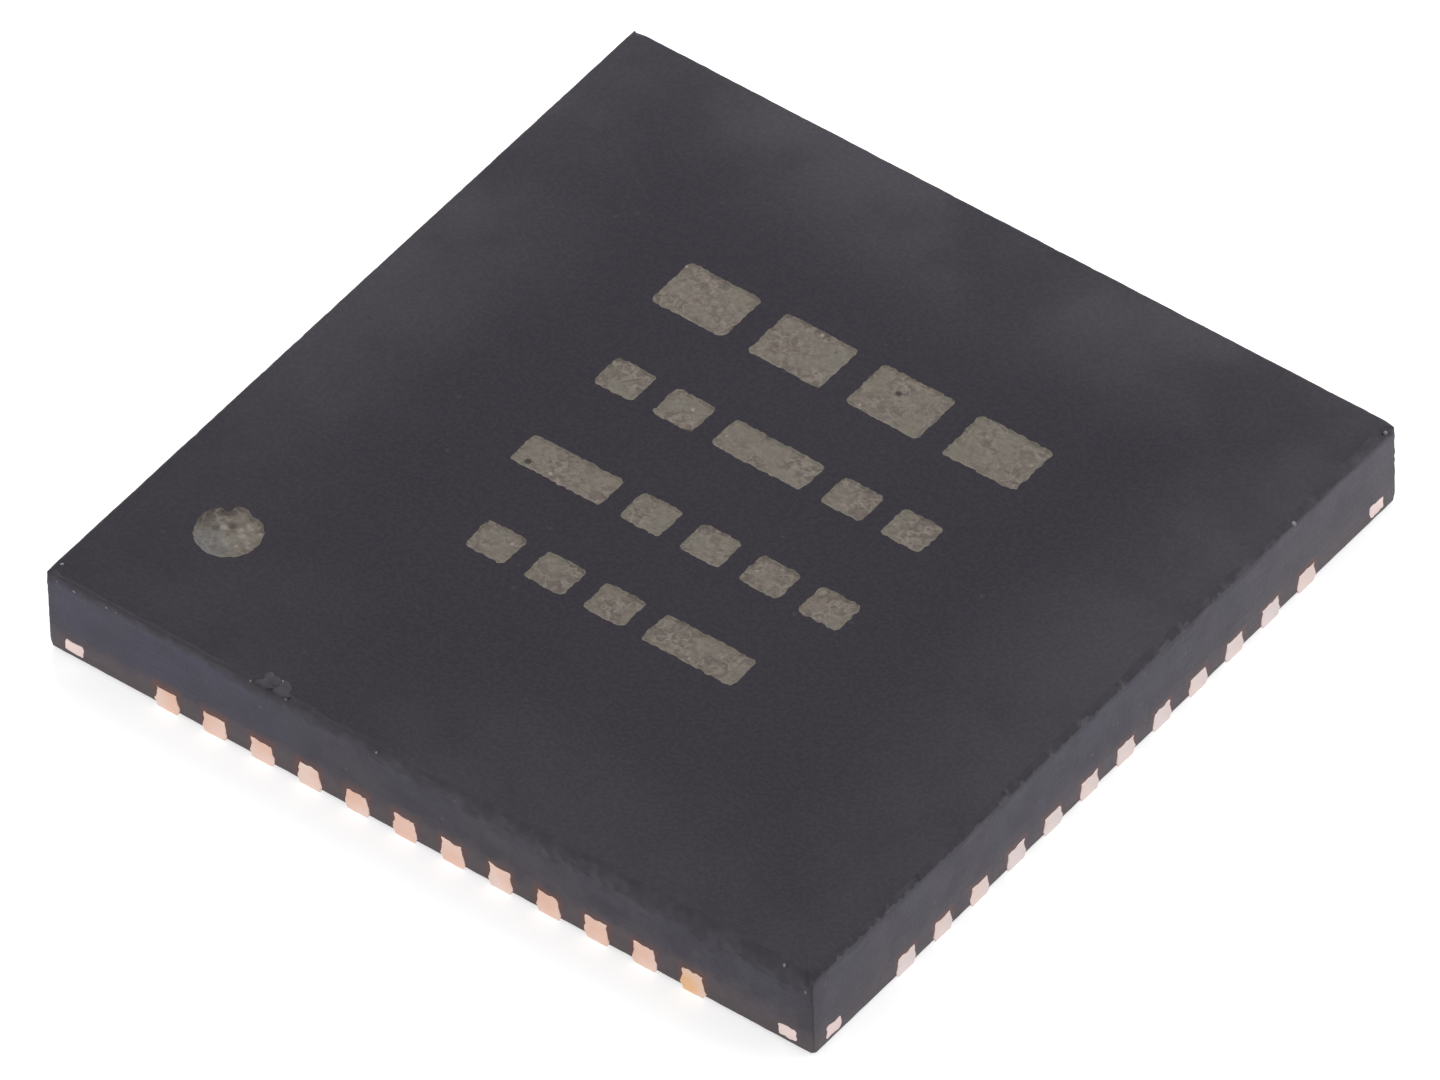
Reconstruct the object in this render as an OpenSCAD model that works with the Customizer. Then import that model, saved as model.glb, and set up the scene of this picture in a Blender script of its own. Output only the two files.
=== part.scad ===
// Leadless quad flat interface chip: a moulded square body round an etched copper lead
// frame, a silicon die and the bond wires between them.
// Millimetres, +Z up. The soldered faces lie on z = 0 and the origin is under the body's middle.
// Pin 1 is the first lead of the -Y side, beside the -X -Y corner. The pins count on
// anticlockwise as seen from above.

/* [Body] */
// Side of the square body, saw cut to saw cut
body_w = 8; // [7.5:0.1:10]
// Height from the soldered faces to the top
body_h = 0.9; // [0.8:0.05:1.2]
// How far the metal stands below the moulding
standoff = 0.04; // [0.01:0.01:0.05]

/* [Copper sheet] */
// Thickness of the sheet that the leads and the paddle are etched from
sheet_t = 0.2; // [0.16:0.01:0.25]
// Thickness left where the sheet is etched from below
half_etch_t = 0.1; // [0.07:0.01:0.12]
// How far a lead's sides swell where the cuts etched from both faces meet
etch_swell = 0.03; // [0.005:0.005:0.035]
// Height at which those cuts meet, as a share of the sheet's thickness
etch_meet = 0.35; // [0.25:0.05:0.5]

/* [Leads] */
// Leads on each side
leads_per_side = 12; // [4:1:13]
// Distance from lead to lead
lead_pitch = 0.5; // [0.4:0.01:0.5]
// Width of a lead's soldered face
lead_w = 0.2; // [0.18:0.01:0.3]
// How much narrower a lead's top face is than its soldered face
lead_top_narrower = 0.01; // [0:0.01:0.08]
// Length of a lead's soldered face, in from the body's side
lead_l = 0.4; // [0.3:0.05:0.5]
// Reach of the half-etched bond finger past the soldered face
finger_l = 0.15; // [0.1:0.01:0.2]

/* [Paddle] */
// Gap between the bond fingers and the paddle's rim
paddle_gap = 0.2; // [0.15:0.01:0.4]
// Width of the half-etched rim round the exposed pad
paddle_rim_w = 0.15; // [0.1:0.01:0.25]
// Corner radius of the exposed pad
pad_corner_r = 0.12; // [0.05:0.01:0.2]
// Chamfer of the exposed pad's corner beside pin 1
pin_1_chamfer = 0.35; // [0.25:0.05:0.5]

/* [Tie bars] */
// Width of the diagonal bars that hold the paddle
tie_w = 0.2; // [0.15:0.01:0.25]
// Width of the two arms that each bar forks into
tie_arm_w = 0.18; // [0.12:0.01:0.2]
// Distance from the body's corner to the middle of each arm's end
tie_arm_inset = 0.27; // [0.25:0.01:0.4]

/* [Die] */
// Side of the square die
die_w = 3; // [2.4:0.1:4]
// Thickness of the die
die_t = 0.25; // [0.15:0.01:0.3]
// Thickness of the adhesive under the die
attach_t = 0.025; // [0.015:0.005:0.04]
// How far the adhesive spreads past the die
attach_spread = 0.08; // [0.04:0.01:0.15]
// Distance from the die's edge to the row of bonds along it
bond_inset = 0.1; // [0.08:0.01:0.15]
// Distance from the die's corner to the first bond of a row
bond_corner_gap = 0.4; // [0.3:0.01:0.5]

/* [Bond wires] */
// Diameter of the wire
wire_d = 0.025; // [0.018:0.001:0.03]
// Diameter of the ball bond on the die
ball_d = 0.065; // [0.05:0.005:0.075]
// Height of the ball bond
ball_h = 0.015; // [0.01:0.001:0.02]
// Height of the shoulder between the ball and the wire
shoulder_h = 0.015; // [0.01:0.001:0.02]
// Height of a wire's loop above the die
loop_h = 0.16; // [0.13:0.01:0.2]
// Radius of the bend at the top of the loop
loop_r = 0.07; // [0.05:0.01:0.08]
// Distance from a bond finger's tip to the stitch bond
stitch_inset = 0.12; // [0.1:0.01:0.15]

/* [Pin 1 dot] */
// Diameter of the engraved dot
dot_d = 0.6; // [0.3:0.05:0.8]
// Depth of the engraved dot
dot_depth = 0.02; // [0.01:0.005:0.03]
// Distance from the -X side to the dot's middle
dot_inset_x = 0.94; // [0.6:0.01:1.5]
// Distance from the -Y side to the dot's middle
dot_inset_y = 1.26; // [0.6:0.01:1.5]

/* [Hidden] */
// Smoothness of round shapes
$fn = 24;
// Extra reach of cuts past the faces that they open
cut_clear = 0.05;
// Flat sides of a bond wire
wire_sides = 6;
// Straight steps in the bend of a bond wire
bend_steps = 3;
// Colours of the materials
mould_colour = "#45424a";
copper_colour = "#dcb9ab";
adhesive_colour = "#b9bcc0";
silicon_colour = "#6d7482";
wire_colour = "#c98a5e";

sides = 4;
lead_count = sides * leads_per_side;
body_half = body_w / 2;
finger_tip_y = body_half - lead_l - finger_l;
rim_w = 2 * (finger_tip_y - paddle_gap);
pad_w = rim_w - 2 * paddle_rim_w;
half_etch_z = sheet_t - half_etch_t;
tie_arm_mid = body_half - tie_arm_inset;
attach_w = die_w + 2 * attach_spread;
die_z = sheet_t + attach_t;
die_top = die_z + die_t;
bond_pitch = (die_w - 2 * bond_corner_gap) / (leads_per_side - 1);
bond_y = die_w / 2 - bond_inset;
stitch_y = finger_tip_y + stitch_inset;
neck_top = die_top + loop_h - loop_r - wire_d / 2;

// Node name of a lead, from its pin number
function lead_name(pin) = str("lead_", pin < 10 ? "0" : "", pin);

// Place of a pin along its side, counted in pitches from the side's middle
function pin_step(pin) = (pin - 1) % leads_per_side - (leads_per_side - 1) / 2;

// Turns children from the -Y side to the side that a pin is on
module on_side_of(pin) {
    rotate([0, 0, floor((pin - 1) / leads_per_side) * 360 / sides])
        children();
}

// Square plate outline with round corners, centred
module rounded_square(width, radius) {
    square([width, width - 2 * radius], center = true);
    square([width - 2 * radius, width], center = true);
    for (x = [-1, 1], y = [-1, 1])
        translate([x, y] * (width / 2 - radius))
            circle(r = radius);
}

// Cross-section of an etched lead: flat faces, and sides that swell to a ridge and then narrow
module lead_section() {
    foot = lead_w / 2;
    top = (lead_w - lead_top_narrower) / 2;
    ridge_z = etch_meet * sheet_t;
    polygon([
        [-foot, 0],
        [foot, 0],
        [foot + etch_swell, ridge_z],
        [top, sheet_t],
        [-top, sheet_t],
        [-foot - etch_swell, ridge_z]
    ]);
}

// Plan of a lead that runs in from the -Y side and ends in a full round
module lead_plan(length) {
    end_r = lead_w / 2 + etch_swell;
    translate([-end_r, -body_half])
        square([2 * end_r, length - end_r]);
    translate([0, length - end_r - body_half])
        circle(r = end_r);
}

// One lead: a soldered foot with a thinner bond finger reaching towards the die
module lead(pin) {
    color(copper_colour)
        on_side_of(pin)
            translate([pin_step(pin) * lead_pitch, 0, 0])
                intersection() {
                    translate([0, -finger_tip_y, 0])
                        rotate([90, 0, 0])
                            linear_extrude(lead_l + finger_l)
                                lead_section();
                    union() {
                        linear_extrude(sheet_t)
                            lead_plan(lead_l);
                        translate([0, 0, half_etch_z])
                            linear_extrude(half_etch_t)
                                lead_plan(lead_l + finger_l);
                    }
                }
}

// Outline of the exposed pad, with its chamfer beside pin 1
module pad_outline() {
    corner = -pad_w / 2;
    difference() {
        rounded_square(pad_w, pad_corner_r);
        translate([corner, corner])
            rotate(45)
                square(pin_1_chamfer * sqrt(2), center = true);
    }
}

// Outline of the tie bar at the +X +Y corner: a diagonal bar that forks to both sides
module tie_outline() {
    rim_corner = rim_w / 2 - pad_corner_r;
    arm_start = tie_arm_mid - tie_arm_w / 2;
    translate([rim_corner, rim_corner])
        rotate(45)
            translate([0, -tie_w / 2])
                square([(tie_arm_mid - rim_corner) * sqrt(2), tie_w]);
    translate([arm_start, arm_start])
        square([body_half - arm_start, tie_arm_w]);
    translate([arm_start, arm_start])
        square([tie_arm_w, body_half - arm_start]);
}

// Die paddle: the exposed pad, its half-etched rim and the four forked tie bars
module die_paddle() {
    color(copper_colour) {
        linear_extrude(sheet_t)
            pad_outline();
        translate([0, 0, half_etch_z])
            linear_extrude(half_etch_t) {
                rounded_square(rim_w, pad_corner_r);
                for (corner = [0:sides - 1])
                    rotate(corner * 360 / sides)
                        tie_outline();
            }
    }
}

// Adhesive that holds the die, squeezed out a little round it
module die_attach() {
    color(adhesive_colour)
        translate([0, 0, sheet_t])
            linear_extrude(attach_t)
                rounded_square(attach_w, attach_spread);
}

// Silicon die
module silicon_die() {
    color(silicon_colour)
        translate([-die_w / 2, -die_w / 2, die_z])
            cube([die_w, die_w, die_t]);
}

// Points round a wire at one place of its route, which lies in the XZ plane.
// Heading is the route's angle there, from +X towards +Z.
function wire_ring(middle, heading, radius) = [
    for (side = [0:wire_sides - 1])
        let (turn = side * 360 / wire_sides, across = radius * cos(turn), over = radius * sin(turn))
            [middle.x - over * sin(heading), across, middle.y + over * cos(heading)]
];

// Points where a wire's edges, running on from a ring down a slope, meet the leads' top face
function stitch_ring(ring, slope) = [
    for (point = ring)
        [point.x + (point.z - sheet_t) / tan(slope), point.y, sheet_t]
];

// Triangles between one ring of a wire and the next
function wire_band(index) = [
    for (side = [0:wire_sides - 1])
        let (near = index * wire_sides + side, next = index * wire_sides + (side + 1) % wire_sides)
            each [[near, near + wire_sides, next + wire_sides], [near, next + wire_sides, next]]
];

// One bond wire: ball on the die, neck, bend, straight span and slant-cut stitch on its lead.
// The span is the tangent from the stitch to the bend's circle.
module bond_wire(pin) {
    run = [pin_step(pin) * (lead_pitch - bond_pitch), bond_y - stitch_y];
    reach = norm(run);
    to_stitch = [reach - loop_r, neck_top - sheet_t];
    distance = norm(to_stitch);
    slope = atan2(to_stitch.y, to_stitch.x) + asin(loop_r / distance);
    bend = [
        for (step = [0:bend_steps])
            let (turn = (90 + slope) * step / bend_steps)
                wire_ring([loop_r * (1 - cos(turn)), neck_top + loop_r * sin(turn)], 90 - turn, wire_d / 2)
    ];
    rings = concat(
        [
            wire_ring([0, die_top], 90, ball_d / 2),
            wire_ring([0, die_top + ball_h], 90, ball_d / 2),
            wire_ring([0, die_top + ball_h + shoulder_h], 90, wire_d / 2)
        ],
        bend,
        [stitch_ring(bend[bend_steps], slope)]
    );
    last = len(rings) - 1;
    on_side_of(pin)
        translate([pin_step(pin) * bond_pitch, -bond_y, 0])
            rotate([0, 0, atan2(run.y, run.x)])
                polyhedron(
                    points = [for (ring = rings) each ring],
                    faces = concat(
                        [[for (side = [0:wire_sides - 1]) side]],
                        [for (index = [0:last - 1]) each wire_band(index)],
                        [[for (side = [wire_sides - 1:-1:0]) last * wire_sides + side]]
                    )
                );
}

// All the bond wires, as separate solids
module bond_wires() {
    color(wire_colour)
        for (pin = [1:lead_count])
            bond_wire(pin);
}

// Moulded body, cast round everything else, with sawn sides and the engraved pin 1 dot
module mould_body() {
    color(mould_colour)
        difference() {
            translate([-body_half, -body_half, standoff])
                cube([body_w, body_w, body_h - standoff]);
            for (pin = [1:lead_count])
                lead(pin);
            die_paddle();
            die_attach();
            silicon_die();
            bond_wires();
            translate([dot_inset_x - body_half, dot_inset_y - body_half, body_h - dot_depth])
                cylinder(d = dot_d, h = dot_depth + cut_clear);
        }
}

mould_body();
die_paddle();
die_attach();
silicon_die();
bond_wires();
for (pin = [1:lead_count])
    lead(pin);
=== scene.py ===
"""Dresses a leadless interface chip: its moulded body, sawn copper lead ends, paddle and inner pieces."""

import logging
import math
import random
from collections.abc import Callable, Sequence
from dataclasses import dataclass, replace
from enum import Enum, IntEnum
from functools import reduce

import bmesh
import bpy
from bmesh.types import BMesh, BMVert
from bpy.types import Material, Node, NodeSocket, NodeTree, Object
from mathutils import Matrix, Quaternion, Vector, geometry, noise


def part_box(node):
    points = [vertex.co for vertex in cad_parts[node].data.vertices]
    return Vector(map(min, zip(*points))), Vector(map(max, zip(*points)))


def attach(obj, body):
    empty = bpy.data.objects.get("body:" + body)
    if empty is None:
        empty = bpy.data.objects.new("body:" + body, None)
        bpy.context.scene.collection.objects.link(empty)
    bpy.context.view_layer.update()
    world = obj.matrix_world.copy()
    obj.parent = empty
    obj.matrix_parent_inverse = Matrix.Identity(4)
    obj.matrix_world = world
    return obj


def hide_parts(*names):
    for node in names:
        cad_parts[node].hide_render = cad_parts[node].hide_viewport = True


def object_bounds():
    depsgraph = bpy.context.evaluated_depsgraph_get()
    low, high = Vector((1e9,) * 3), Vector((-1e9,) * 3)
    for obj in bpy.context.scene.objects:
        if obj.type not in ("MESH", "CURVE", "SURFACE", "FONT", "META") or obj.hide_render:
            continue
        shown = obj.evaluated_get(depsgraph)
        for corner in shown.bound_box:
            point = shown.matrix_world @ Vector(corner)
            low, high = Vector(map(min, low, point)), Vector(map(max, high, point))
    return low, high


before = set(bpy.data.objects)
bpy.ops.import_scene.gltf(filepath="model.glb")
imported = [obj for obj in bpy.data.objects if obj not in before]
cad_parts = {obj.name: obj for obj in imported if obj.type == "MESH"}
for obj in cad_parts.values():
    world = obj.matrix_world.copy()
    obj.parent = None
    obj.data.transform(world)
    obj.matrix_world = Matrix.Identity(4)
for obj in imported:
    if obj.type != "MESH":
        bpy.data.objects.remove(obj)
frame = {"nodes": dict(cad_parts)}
CAD_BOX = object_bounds()

Colour = tuple[float, float, float]
Place = tuple[float, float, float]
Point = tuple[float, float]

LOG = logging.getLogger("chip")
MM = 0.001
HALF_WIDTH_MM = CAD_BOX[1].x / MM
BODY = "root"
SIDES = 4
LEADS_PER_SIDE = 12
LEAD_PITCH_MM = 0.5
UPWARD_AXIS = Vector((0.0, 0.0, 1.0))

# Settings of Blender's filling of outlines and joining of points
TRIANGLES_INSIDE = 1
SAME_PLACE_MM = 1e-6
SAME_PLACE_M = 1e-7

# Where in the noise the patterns of unlike places lie
OTHER_NOISE = Vector((0.0, 0.0, 40.0))
UPRIGHT_NOISE = 9.0
UPRIGHT_NOISE_STEP = 5.0
SIDE_NOISE_STEP = 7.0
FOOT_NOISE = 3.0

# Ranges and levels of detail that many effects, finishes and shapes use
RISING: Point = (0.0, 1.0)
FALLING: Point = (1.0, 0.0)
EITHER_WAY: Point = (-1.0, 1.0)
MIDDLE = 0.5
CLOUD_SPREAD: Point = (0.3, 0.7)
FINE_DETAIL = 2.0
MID_DETAIL = 3.0
RICH_DETAIL = 4.0
WHITE = (1.0, 1.0, 1.0, 1.0)


# Shader building


class Graph:
    """A node tree with short calls to add nodes and join them."""

    def __init__(self, tree: NodeTree) -> None:
        """Keeps the tree that the calls work on."""
        self.tree = tree

    def add(self, kind: str, **settings: object) -> Node:
        """Adds a node.

        Args:
            kind: Blender's name for the node's class.
            **settings: properties of the node to set.

        Returns:
            The new node.
        """
        node = self.tree.nodes.new(kind)
        for name, value in settings.items():
            setattr(node, name, value)
        return node

    def feed(self, socket: NodeSocket, value: object) -> None:
        """Joins an input to another socket, or sets its value.

        Args:
            socket: the input.
            value: an output socket, or a plain value.
        """
        if isinstance(value, NodeSocket):
            self.tree.links.new(value, socket)
        else:
            socket.default_value = value

    def math(self, operation: str, first: object, second: object = 0.0) -> NodeSocket:
        """Adds a Math node.

        Args:
            operation: Blender's name for the operation.
            first: the first input.
            second: the second input.

        Returns:
            The result's socket.
        """
        node = self.add("ShaderNodeMath", operation=operation)
        self.feed(node.inputs[0], first)
        self.feed(node.inputs[1], second)
        return node.outputs[0]

    def times(self, first: object, second: object) -> NodeSocket:
        """Returns the product of two values."""
        return self.math("MULTIPLY", first, second)

    def plus(self, first: object, second: object) -> NodeSocket:
        """Returns the sum of two values."""
        return self.math("ADD", first, second)

    def minus(self, first: object, second: object) -> NodeSocket:
        """Returns the first value less the second."""
        return self.math("SUBTRACT", first, second)

    def over(self, first: object, second: object) -> NodeSocket:
        """Returns the first value divided by the second."""
        return self.math("DIVIDE", first, second)

    def larger(self, first: object, second: object) -> NodeSocket:
        """Returns the larger of two values."""
        return self.math("MAXIMUM", first, second)

    def size(self, value: object) -> NodeSocket:
        """Returns a value without its sign."""
        return self.math("ABSOLUTE", value)

    def average(self, first: object, second: object) -> NodeSocket:
        """Returns the mean of two values."""
        return self.times(self.plus(first, second), 0.5)

    def remap(self, value: object, source: Sequence[object], target: Sequence[object]) -> NodeSocket:
        """Adds a smooth Map Range node.

        Args:
            value: what is mapped.
            source: the ends of the range it comes from.
            target: the ends of the range it goes to.

        Returns:
            The mapped value's socket.
        """
        node = self.add("ShaderNodeMapRange", interpolation_type="SMOOTHSTEP")
        self.feed(node.inputs["Value"], value)
        ends = ("From Min", "From Max", "To Min", "To Max")
        for end, limit in zip(ends, (*source, *target), strict=True):
            self.feed(node.inputs[end], limit)
        return node.outputs["Result"]

    def mix(self, share: object, first: object, second: object) -> NodeSocket:
        """Adds a Mix node for colours.

        Args:
            share: how much of the second colour shows.
            first: the first colour, or its socket.
            second: the second colour, or its socket.

        Returns:
            The mixed colour's socket.
        """
        node = self.add("ShaderNodeMix", data_type="RGBA")
        inputs = [socket for socket in node.inputs if socket.type == "RGBA"]
        self.feed(node.inputs["Factor"], share)
        for socket, colour in zip(inputs, (first, second), strict=True):
            self.feed(socket, (*colour, 1.0) if isinstance(colour, tuple) else colour)
        return next(socket for socket in node.outputs if socket.type == "RGBA")

    def split(self, vector: NodeSocket) -> dict[str, NodeSocket]:
        """Splits a vector.

        Args:
            vector: the vector's socket.

        Returns:
            The sockets of its X, Y and Z.
        """
        node = self.add("ShaderNodeSeparateXYZ")
        self.feed(node.inputs[0], vector)
        return {axis: node.outputs[axis] for axis in "XYZ"}

    def place_mm(self) -> NodeSocket:
        """Makes the surface point's place in the part's own frame.

        Returns:
            The place's socket, in millimetres.
        """
        scale = self.add("ShaderNodeVectorMath", operation="SCALE")
        self.feed(scale.inputs[0], self.add("ShaderNodeTexCoord").outputs["Object"])
        self.feed(scale.inputs["Scale"], 1.0 / MM)
        return scale.outputs[0]

    def place_xyz(self) -> dict[str, NodeSocket]:
        """Returns the surface point's X, Y and Z, in millimetres."""
        return self.split(self.place_mm())

    def facing_xyz(self) -> dict[str, NodeSocket]:
        """Returns the X, Y and Z of the direction that the surface faces."""
        return self.split(self.add("ShaderNodeTexCoord").outputs["Normal"])

    def noise(self, place: NodeSocket, scale: object, detail: object) -> Node:
        """Adds a cloudy noise texture.

        Args:
            place: each surface point's place in the texture.
            scale: the waves per unit of the place.
            detail: how many finer layers it has.

        Returns:
            The new node.
        """
        node = self.add("ShaderNodeTexNoise")
        for name, value in (("Vector", place), ("Scale", scale), ("Detail", detail)):
            self.feed(node.inputs[name], value)
        return node

    def cells(self, place: NodeSocket, scale: object, feature: str) -> Node:
        """Adds a texture of random cells.

        Args:
            place: each surface point's place in the texture.
            scale: the cells per unit of the place.
            feature: Blender's name for what the texture measures.

        Returns:
            The new node.
        """
        node = self.add("ShaderNodeTexVoronoi", feature=feature)
        self.feed(node.inputs["Vector"], place)
        self.feed(node.inputs["Scale"], scale)
        return node

    def cell_value(self, cells: Node) -> NodeSocket:
        """Makes one random value for each cell.

        Args:
            cells: the texture of cells.

        Returns:
            The value's socket.
        """
        parts = self.add("ShaderNodeSeparateColor")
        self.feed(parts.inputs["Color"], cells.outputs["Color"])
        return parts.outputs["Red"]

    def seen_directly(self) -> NodeSocket:
        """Makes a mask that is 1 for rays from the camera, mirrors and glass.

        Returns:
            The mask's socket.
        """
        path = self.add("ShaderNodeLightPath")
        mirrored = self.larger(path.outputs["Is Glossy Ray"], path.outputs["Is Transmission Ray"])
        return self.larger(path.outputs["Is Camera Ray"], mirrored)


class Effect(Enum):
    """Surface effects that finishes share: each node group's name, then the names of its inputs."""

    GRAIN = ("grain", "Scale per mm", "Detail", "Low", "High")
    SPECKS = ("filler specks", "Scale per mm", "Share", "Radius")
    STREAKS = ("saw streaks", "Lines per mm", "Length mm", "Low", "High")
    # Mask of the painted sheen: lighter towards the body's edge, less along its front
    RIM = ("painted sheen near the body's edge", "Half width mm", "Reach mm", "Front share")
    UPWARD = ("upward tilt", "From", "To")
    HEIGHT = ("height in the part", "From mm", "To mm")
    SPOT = ("nearness to one place", "X mm", "Y mm", "Z mm", "Reach mm")
    # A patchy height ramp on the front side; it places the painted shade under the front top edge, and the
    # warmer foot
    SMOKE = ("darkening under the top edge", "From mm", "To mm", "Lower mm")
    LUMPS = ("melted lumps", "Scale per mm")
    CRACKS = ("cracks between lumps", "Scale per mm", "Width")
    CORNER = ("nearness to the front upright corner", "Half width mm", "Reach mm")


class EffectGroup(Graph):
    """A shared effect's node group, which puts out one value that changes over the surface."""

    SPECK_EDGE: Point = (0.5, 1.0)
    SPOT_EDGE: Point = (0.3, 1.0)
    FRONT_RAMP_PATCHES_PER_MM = 5.5
    FRONT_RAMP_PATCH_SPREAD: Point = (0.25, 0.75)
    FRONT_RAMP_UNEVENNESS_MM: Point = (0.04, 0.15)
    FRONT_RAMP_SPREADS: Point = (0.5, 1.2)
    FRONT_RAMP_EDGE: Point = (-0.5, 0.5)
    FRONT_RAMP_FRONT: Point = (-0.05, 0.15)
    BENDS_PER_MM = 9.0
    BEND_MM = (0.09, 0.09, 0.0)
    LUMP_SMOOTHNESS = 0.3

    def __init__(self, effect: Effect) -> None:
        """Makes the group's sockets and nodes.

        Args:
            effect: which effect.
        """
        name, *inputs = effect.value
        super().__init__(bpy.data.node_groups.new(name, "ShaderNodeTree"))
        for title in inputs:
            self.tree.interface.new_socket(name=title, in_out="INPUT", socket_type="NodeSocketFloat")
        self.tree.interface.new_socket(name="Value", in_out="OUTPUT", socket_type="NodeSocketFloat")
        self.given = self.add("NodeGroupInput").outputs
        self.result = self.add("NodeGroupOutput").inputs["Value"]
        makers: dict[Effect, Callable[[], None]] = {
            Effect.GRAIN: self._grain,
            Effect.SPECKS: self._specks,
            Effect.STREAKS: self._streaks,
            Effect.RIM: self._painted_sheen,
            Effect.UPWARD: self._upward,
            Effect.HEIGHT: self._height,
            Effect.SPOT: self._spot,
            Effect.SMOKE: self._front_ramp,
            Effect.LUMPS: self._lumps,
            Effect.CRACKS: self._cracks,
            Effect.CORNER: self._corner,
        }
        makers[effect]()

    def _grain(self) -> None:
        """Cloudy noise between two values."""
        cloud = self.noise(self.place_mm(), self.given["Scale per mm"], self.given["Detail"])
        ends = (self.given["Low"], self.given["High"])
        self.feed(self.result, self.remap(cloud.outputs["Fac"], CLOUD_SPREAD, ends))

    def _specks(self) -> None:
        """Round specks in a random share of cells, one in the middle of each."""
        cells = self.cells(self.place_mm(), self.given["Scale per mm"], "F1")
        chosen = self.math("LESS_THAN", self.cell_value(cells), self.given["Share"])
        nearness = self.over(cells.outputs["Distance"], self.given["Radius"])
        self.feed(self.result, self.times(chosen, self.remap(nearness, self.SPECK_EDGE, FALLING)))

    def _streaks(self) -> None:
        """Fine lines along the sawn sides, between two values."""
        place = self.place_xyz()
        along = self.plus(place["X"], place["Y"])
        stretched = self.add("ShaderNodeCombineXYZ")
        self.feed(stretched.inputs["X"], self.over(along, self.given["Length mm"]))
        self.feed(stretched.inputs["Z"], self.times(place["Z"], self.given["Lines per mm"]))
        lines = self.noise(stretched.outputs[0], 1.0, MID_DETAIL)
        ends = (self.given["Low"], self.given["High"])
        self.feed(self.result, self.remap(lines.outputs["Fac"], CLOUD_SPREAD, ends))

    def _painted_sheen(self) -> None:
        """Rises from 0 to 1 towards the square body's edge, and less so along its front: the mask of the
        painted sheen.
        """
        place = self.place_xyz()
        half_width = self.given["Half width mm"]
        from_middle = self.larger(self.size(place["X"]), self.size(place["Y"]))
        to_edge = self.over(self.minus(half_width, from_middle), self.given["Reach mm"])
        backward = self.over(place["Y"], half_width)
        weight = self.remap(backward, EITHER_WAY, (self.given["Front share"], 1.0))
        self.feed(self.result, self.times(self.remap(to_edge, RISING, FALLING), weight))

    def _upward(self) -> None:
        """Rises from 0 to 1 as the surface turns between two tilts, 1 being straight up."""
        tilts = (self.given["From"], self.given["To"])
        self.feed(self.result, self.remap(self.facing_xyz()["Z"], tilts, RISING))

    def _height(self) -> None:
        """Rises from 0 to 1 between two heights."""
        heights = (self.given["From mm"], self.given["To mm"])
        self.feed(self.result, self.remap(self.place_xyz()["Z"], heights, RISING))

    def _spot(self) -> None:
        """Rises from 0 to 1 towards one place."""
        centre = self.add("ShaderNodeCombineXYZ")
        for axis in "XYZ":
            self.feed(centre.inputs[axis], self.given[axis + " mm"])
        away = self.add("ShaderNodeVectorMath", operation="DISTANCE")
        self.feed(away.inputs[0], self.place_mm())
        self.feed(away.inputs[1], centre.outputs[0])
        share = self.over(away.outputs["Value"], self.given["Reach mm"])
        self.feed(self.result, self.remap(share, self.SPOT_EDGE, FALLING))

    def _front_ramp(self) -> None:
        """Rises from 0 to 1 up the front side in patches, from lower down towards its right end."""
        place = self.place_xyz()
        patches = self.noise(self.place_mm(), self.FRONT_RAMP_PATCHES_PER_MM, FINE_DETAIL)
        rightward = self.remap(place["X"], (-HALF_WIDTH_MM, HALF_WIDTH_MM), RISING)
        uneven = self.remap(rightward, RISING, self.FRONT_RAMP_UNEVENNESS_MM)
        patchy = self.remap(patches.outputs["Fac"], self.FRONT_RAMP_PATCH_SPREAD, EITHER_WAY)
        lowered = self.times(rightward, self.given["Lower mm"])
        height = self.plus(place["Z"], self.plus(self.times(patchy, uneven), lowered))
        reach = self.minus(self.given["To mm"], self.given["From mm"])
        spread = self.times(reach, self.remap(rightward, RISING, self.FRONT_RAMP_SPREADS))
        middle = self.average(self.given["From mm"], self.given["To mm"])
        from_middle = self.over(self.minus(height, middle), spread)
        level = self.remap(from_middle, self.FRONT_RAMP_EDGE, RISING)
        facing = self.facing_xyz()
        forward = self.times(facing["Y"], -1.0)
        chosen = self.remap(self.minus(forward, self.size(facing["X"])), self.FRONT_RAMP_FRONT, RISING)
        self.feed(self.result, self.times(level, chosen))

    def _bent_place(self) -> NodeSocket:
        """Shifts the surface point's place by noise, so that cells have no straight walls.

        Returns:
            The shifted place's socket.
        """
        bend = self.noise(self.place_mm(), self.BENDS_PER_MM, FINE_DETAIL)
        shift = self.add("ShaderNodeVectorMath", operation="MULTIPLY_ADD")
        for socket, value in zip(shift.inputs, (bend.outputs["Color"], self.BEND_MM, self.place_mm())):
            self.feed(socket, value)
        return shift.outputs[0]

    def _lumps(self) -> None:
        """One random value for each lump."""
        cells = self.cells(self._bent_place(), self.given["Scale per mm"], "SMOOTH_F1")
        self.feed(cells.inputs["Smoothness"], self.LUMP_SMOOTHNESS)
        self.feed(self.result, self.cell_value(cells))

    def _cracks(self) -> None:
        """Rises from 0 to 1 towards the walls between lumps."""
        cells = self.cells(self._bent_place(), self.given["Scale per mm"], "DISTANCE_TO_EDGE")
        share = self.over(cells.outputs["Distance"], self.given["Width"])
        self.feed(self.result, self.remap(share, RISING, FALLING))

    def _corner(self) -> None:
        """Rises from 0 to 1 along the two front sides towards the corner where they meet."""
        place = self.place_xyz()
        both_half_widths = self.times(self.given["Half width mm"], 2.0)
        to_corner = self.minus(both_half_widths, self.minus(place["X"], place["Y"]))
        share = self.over(to_corner, self.given["Reach mm"])
        self.feed(self.result, self.remap(share, RISING, FALLING))


EFFECT_TREES: dict[Effect, NodeTree] = {}


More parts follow.
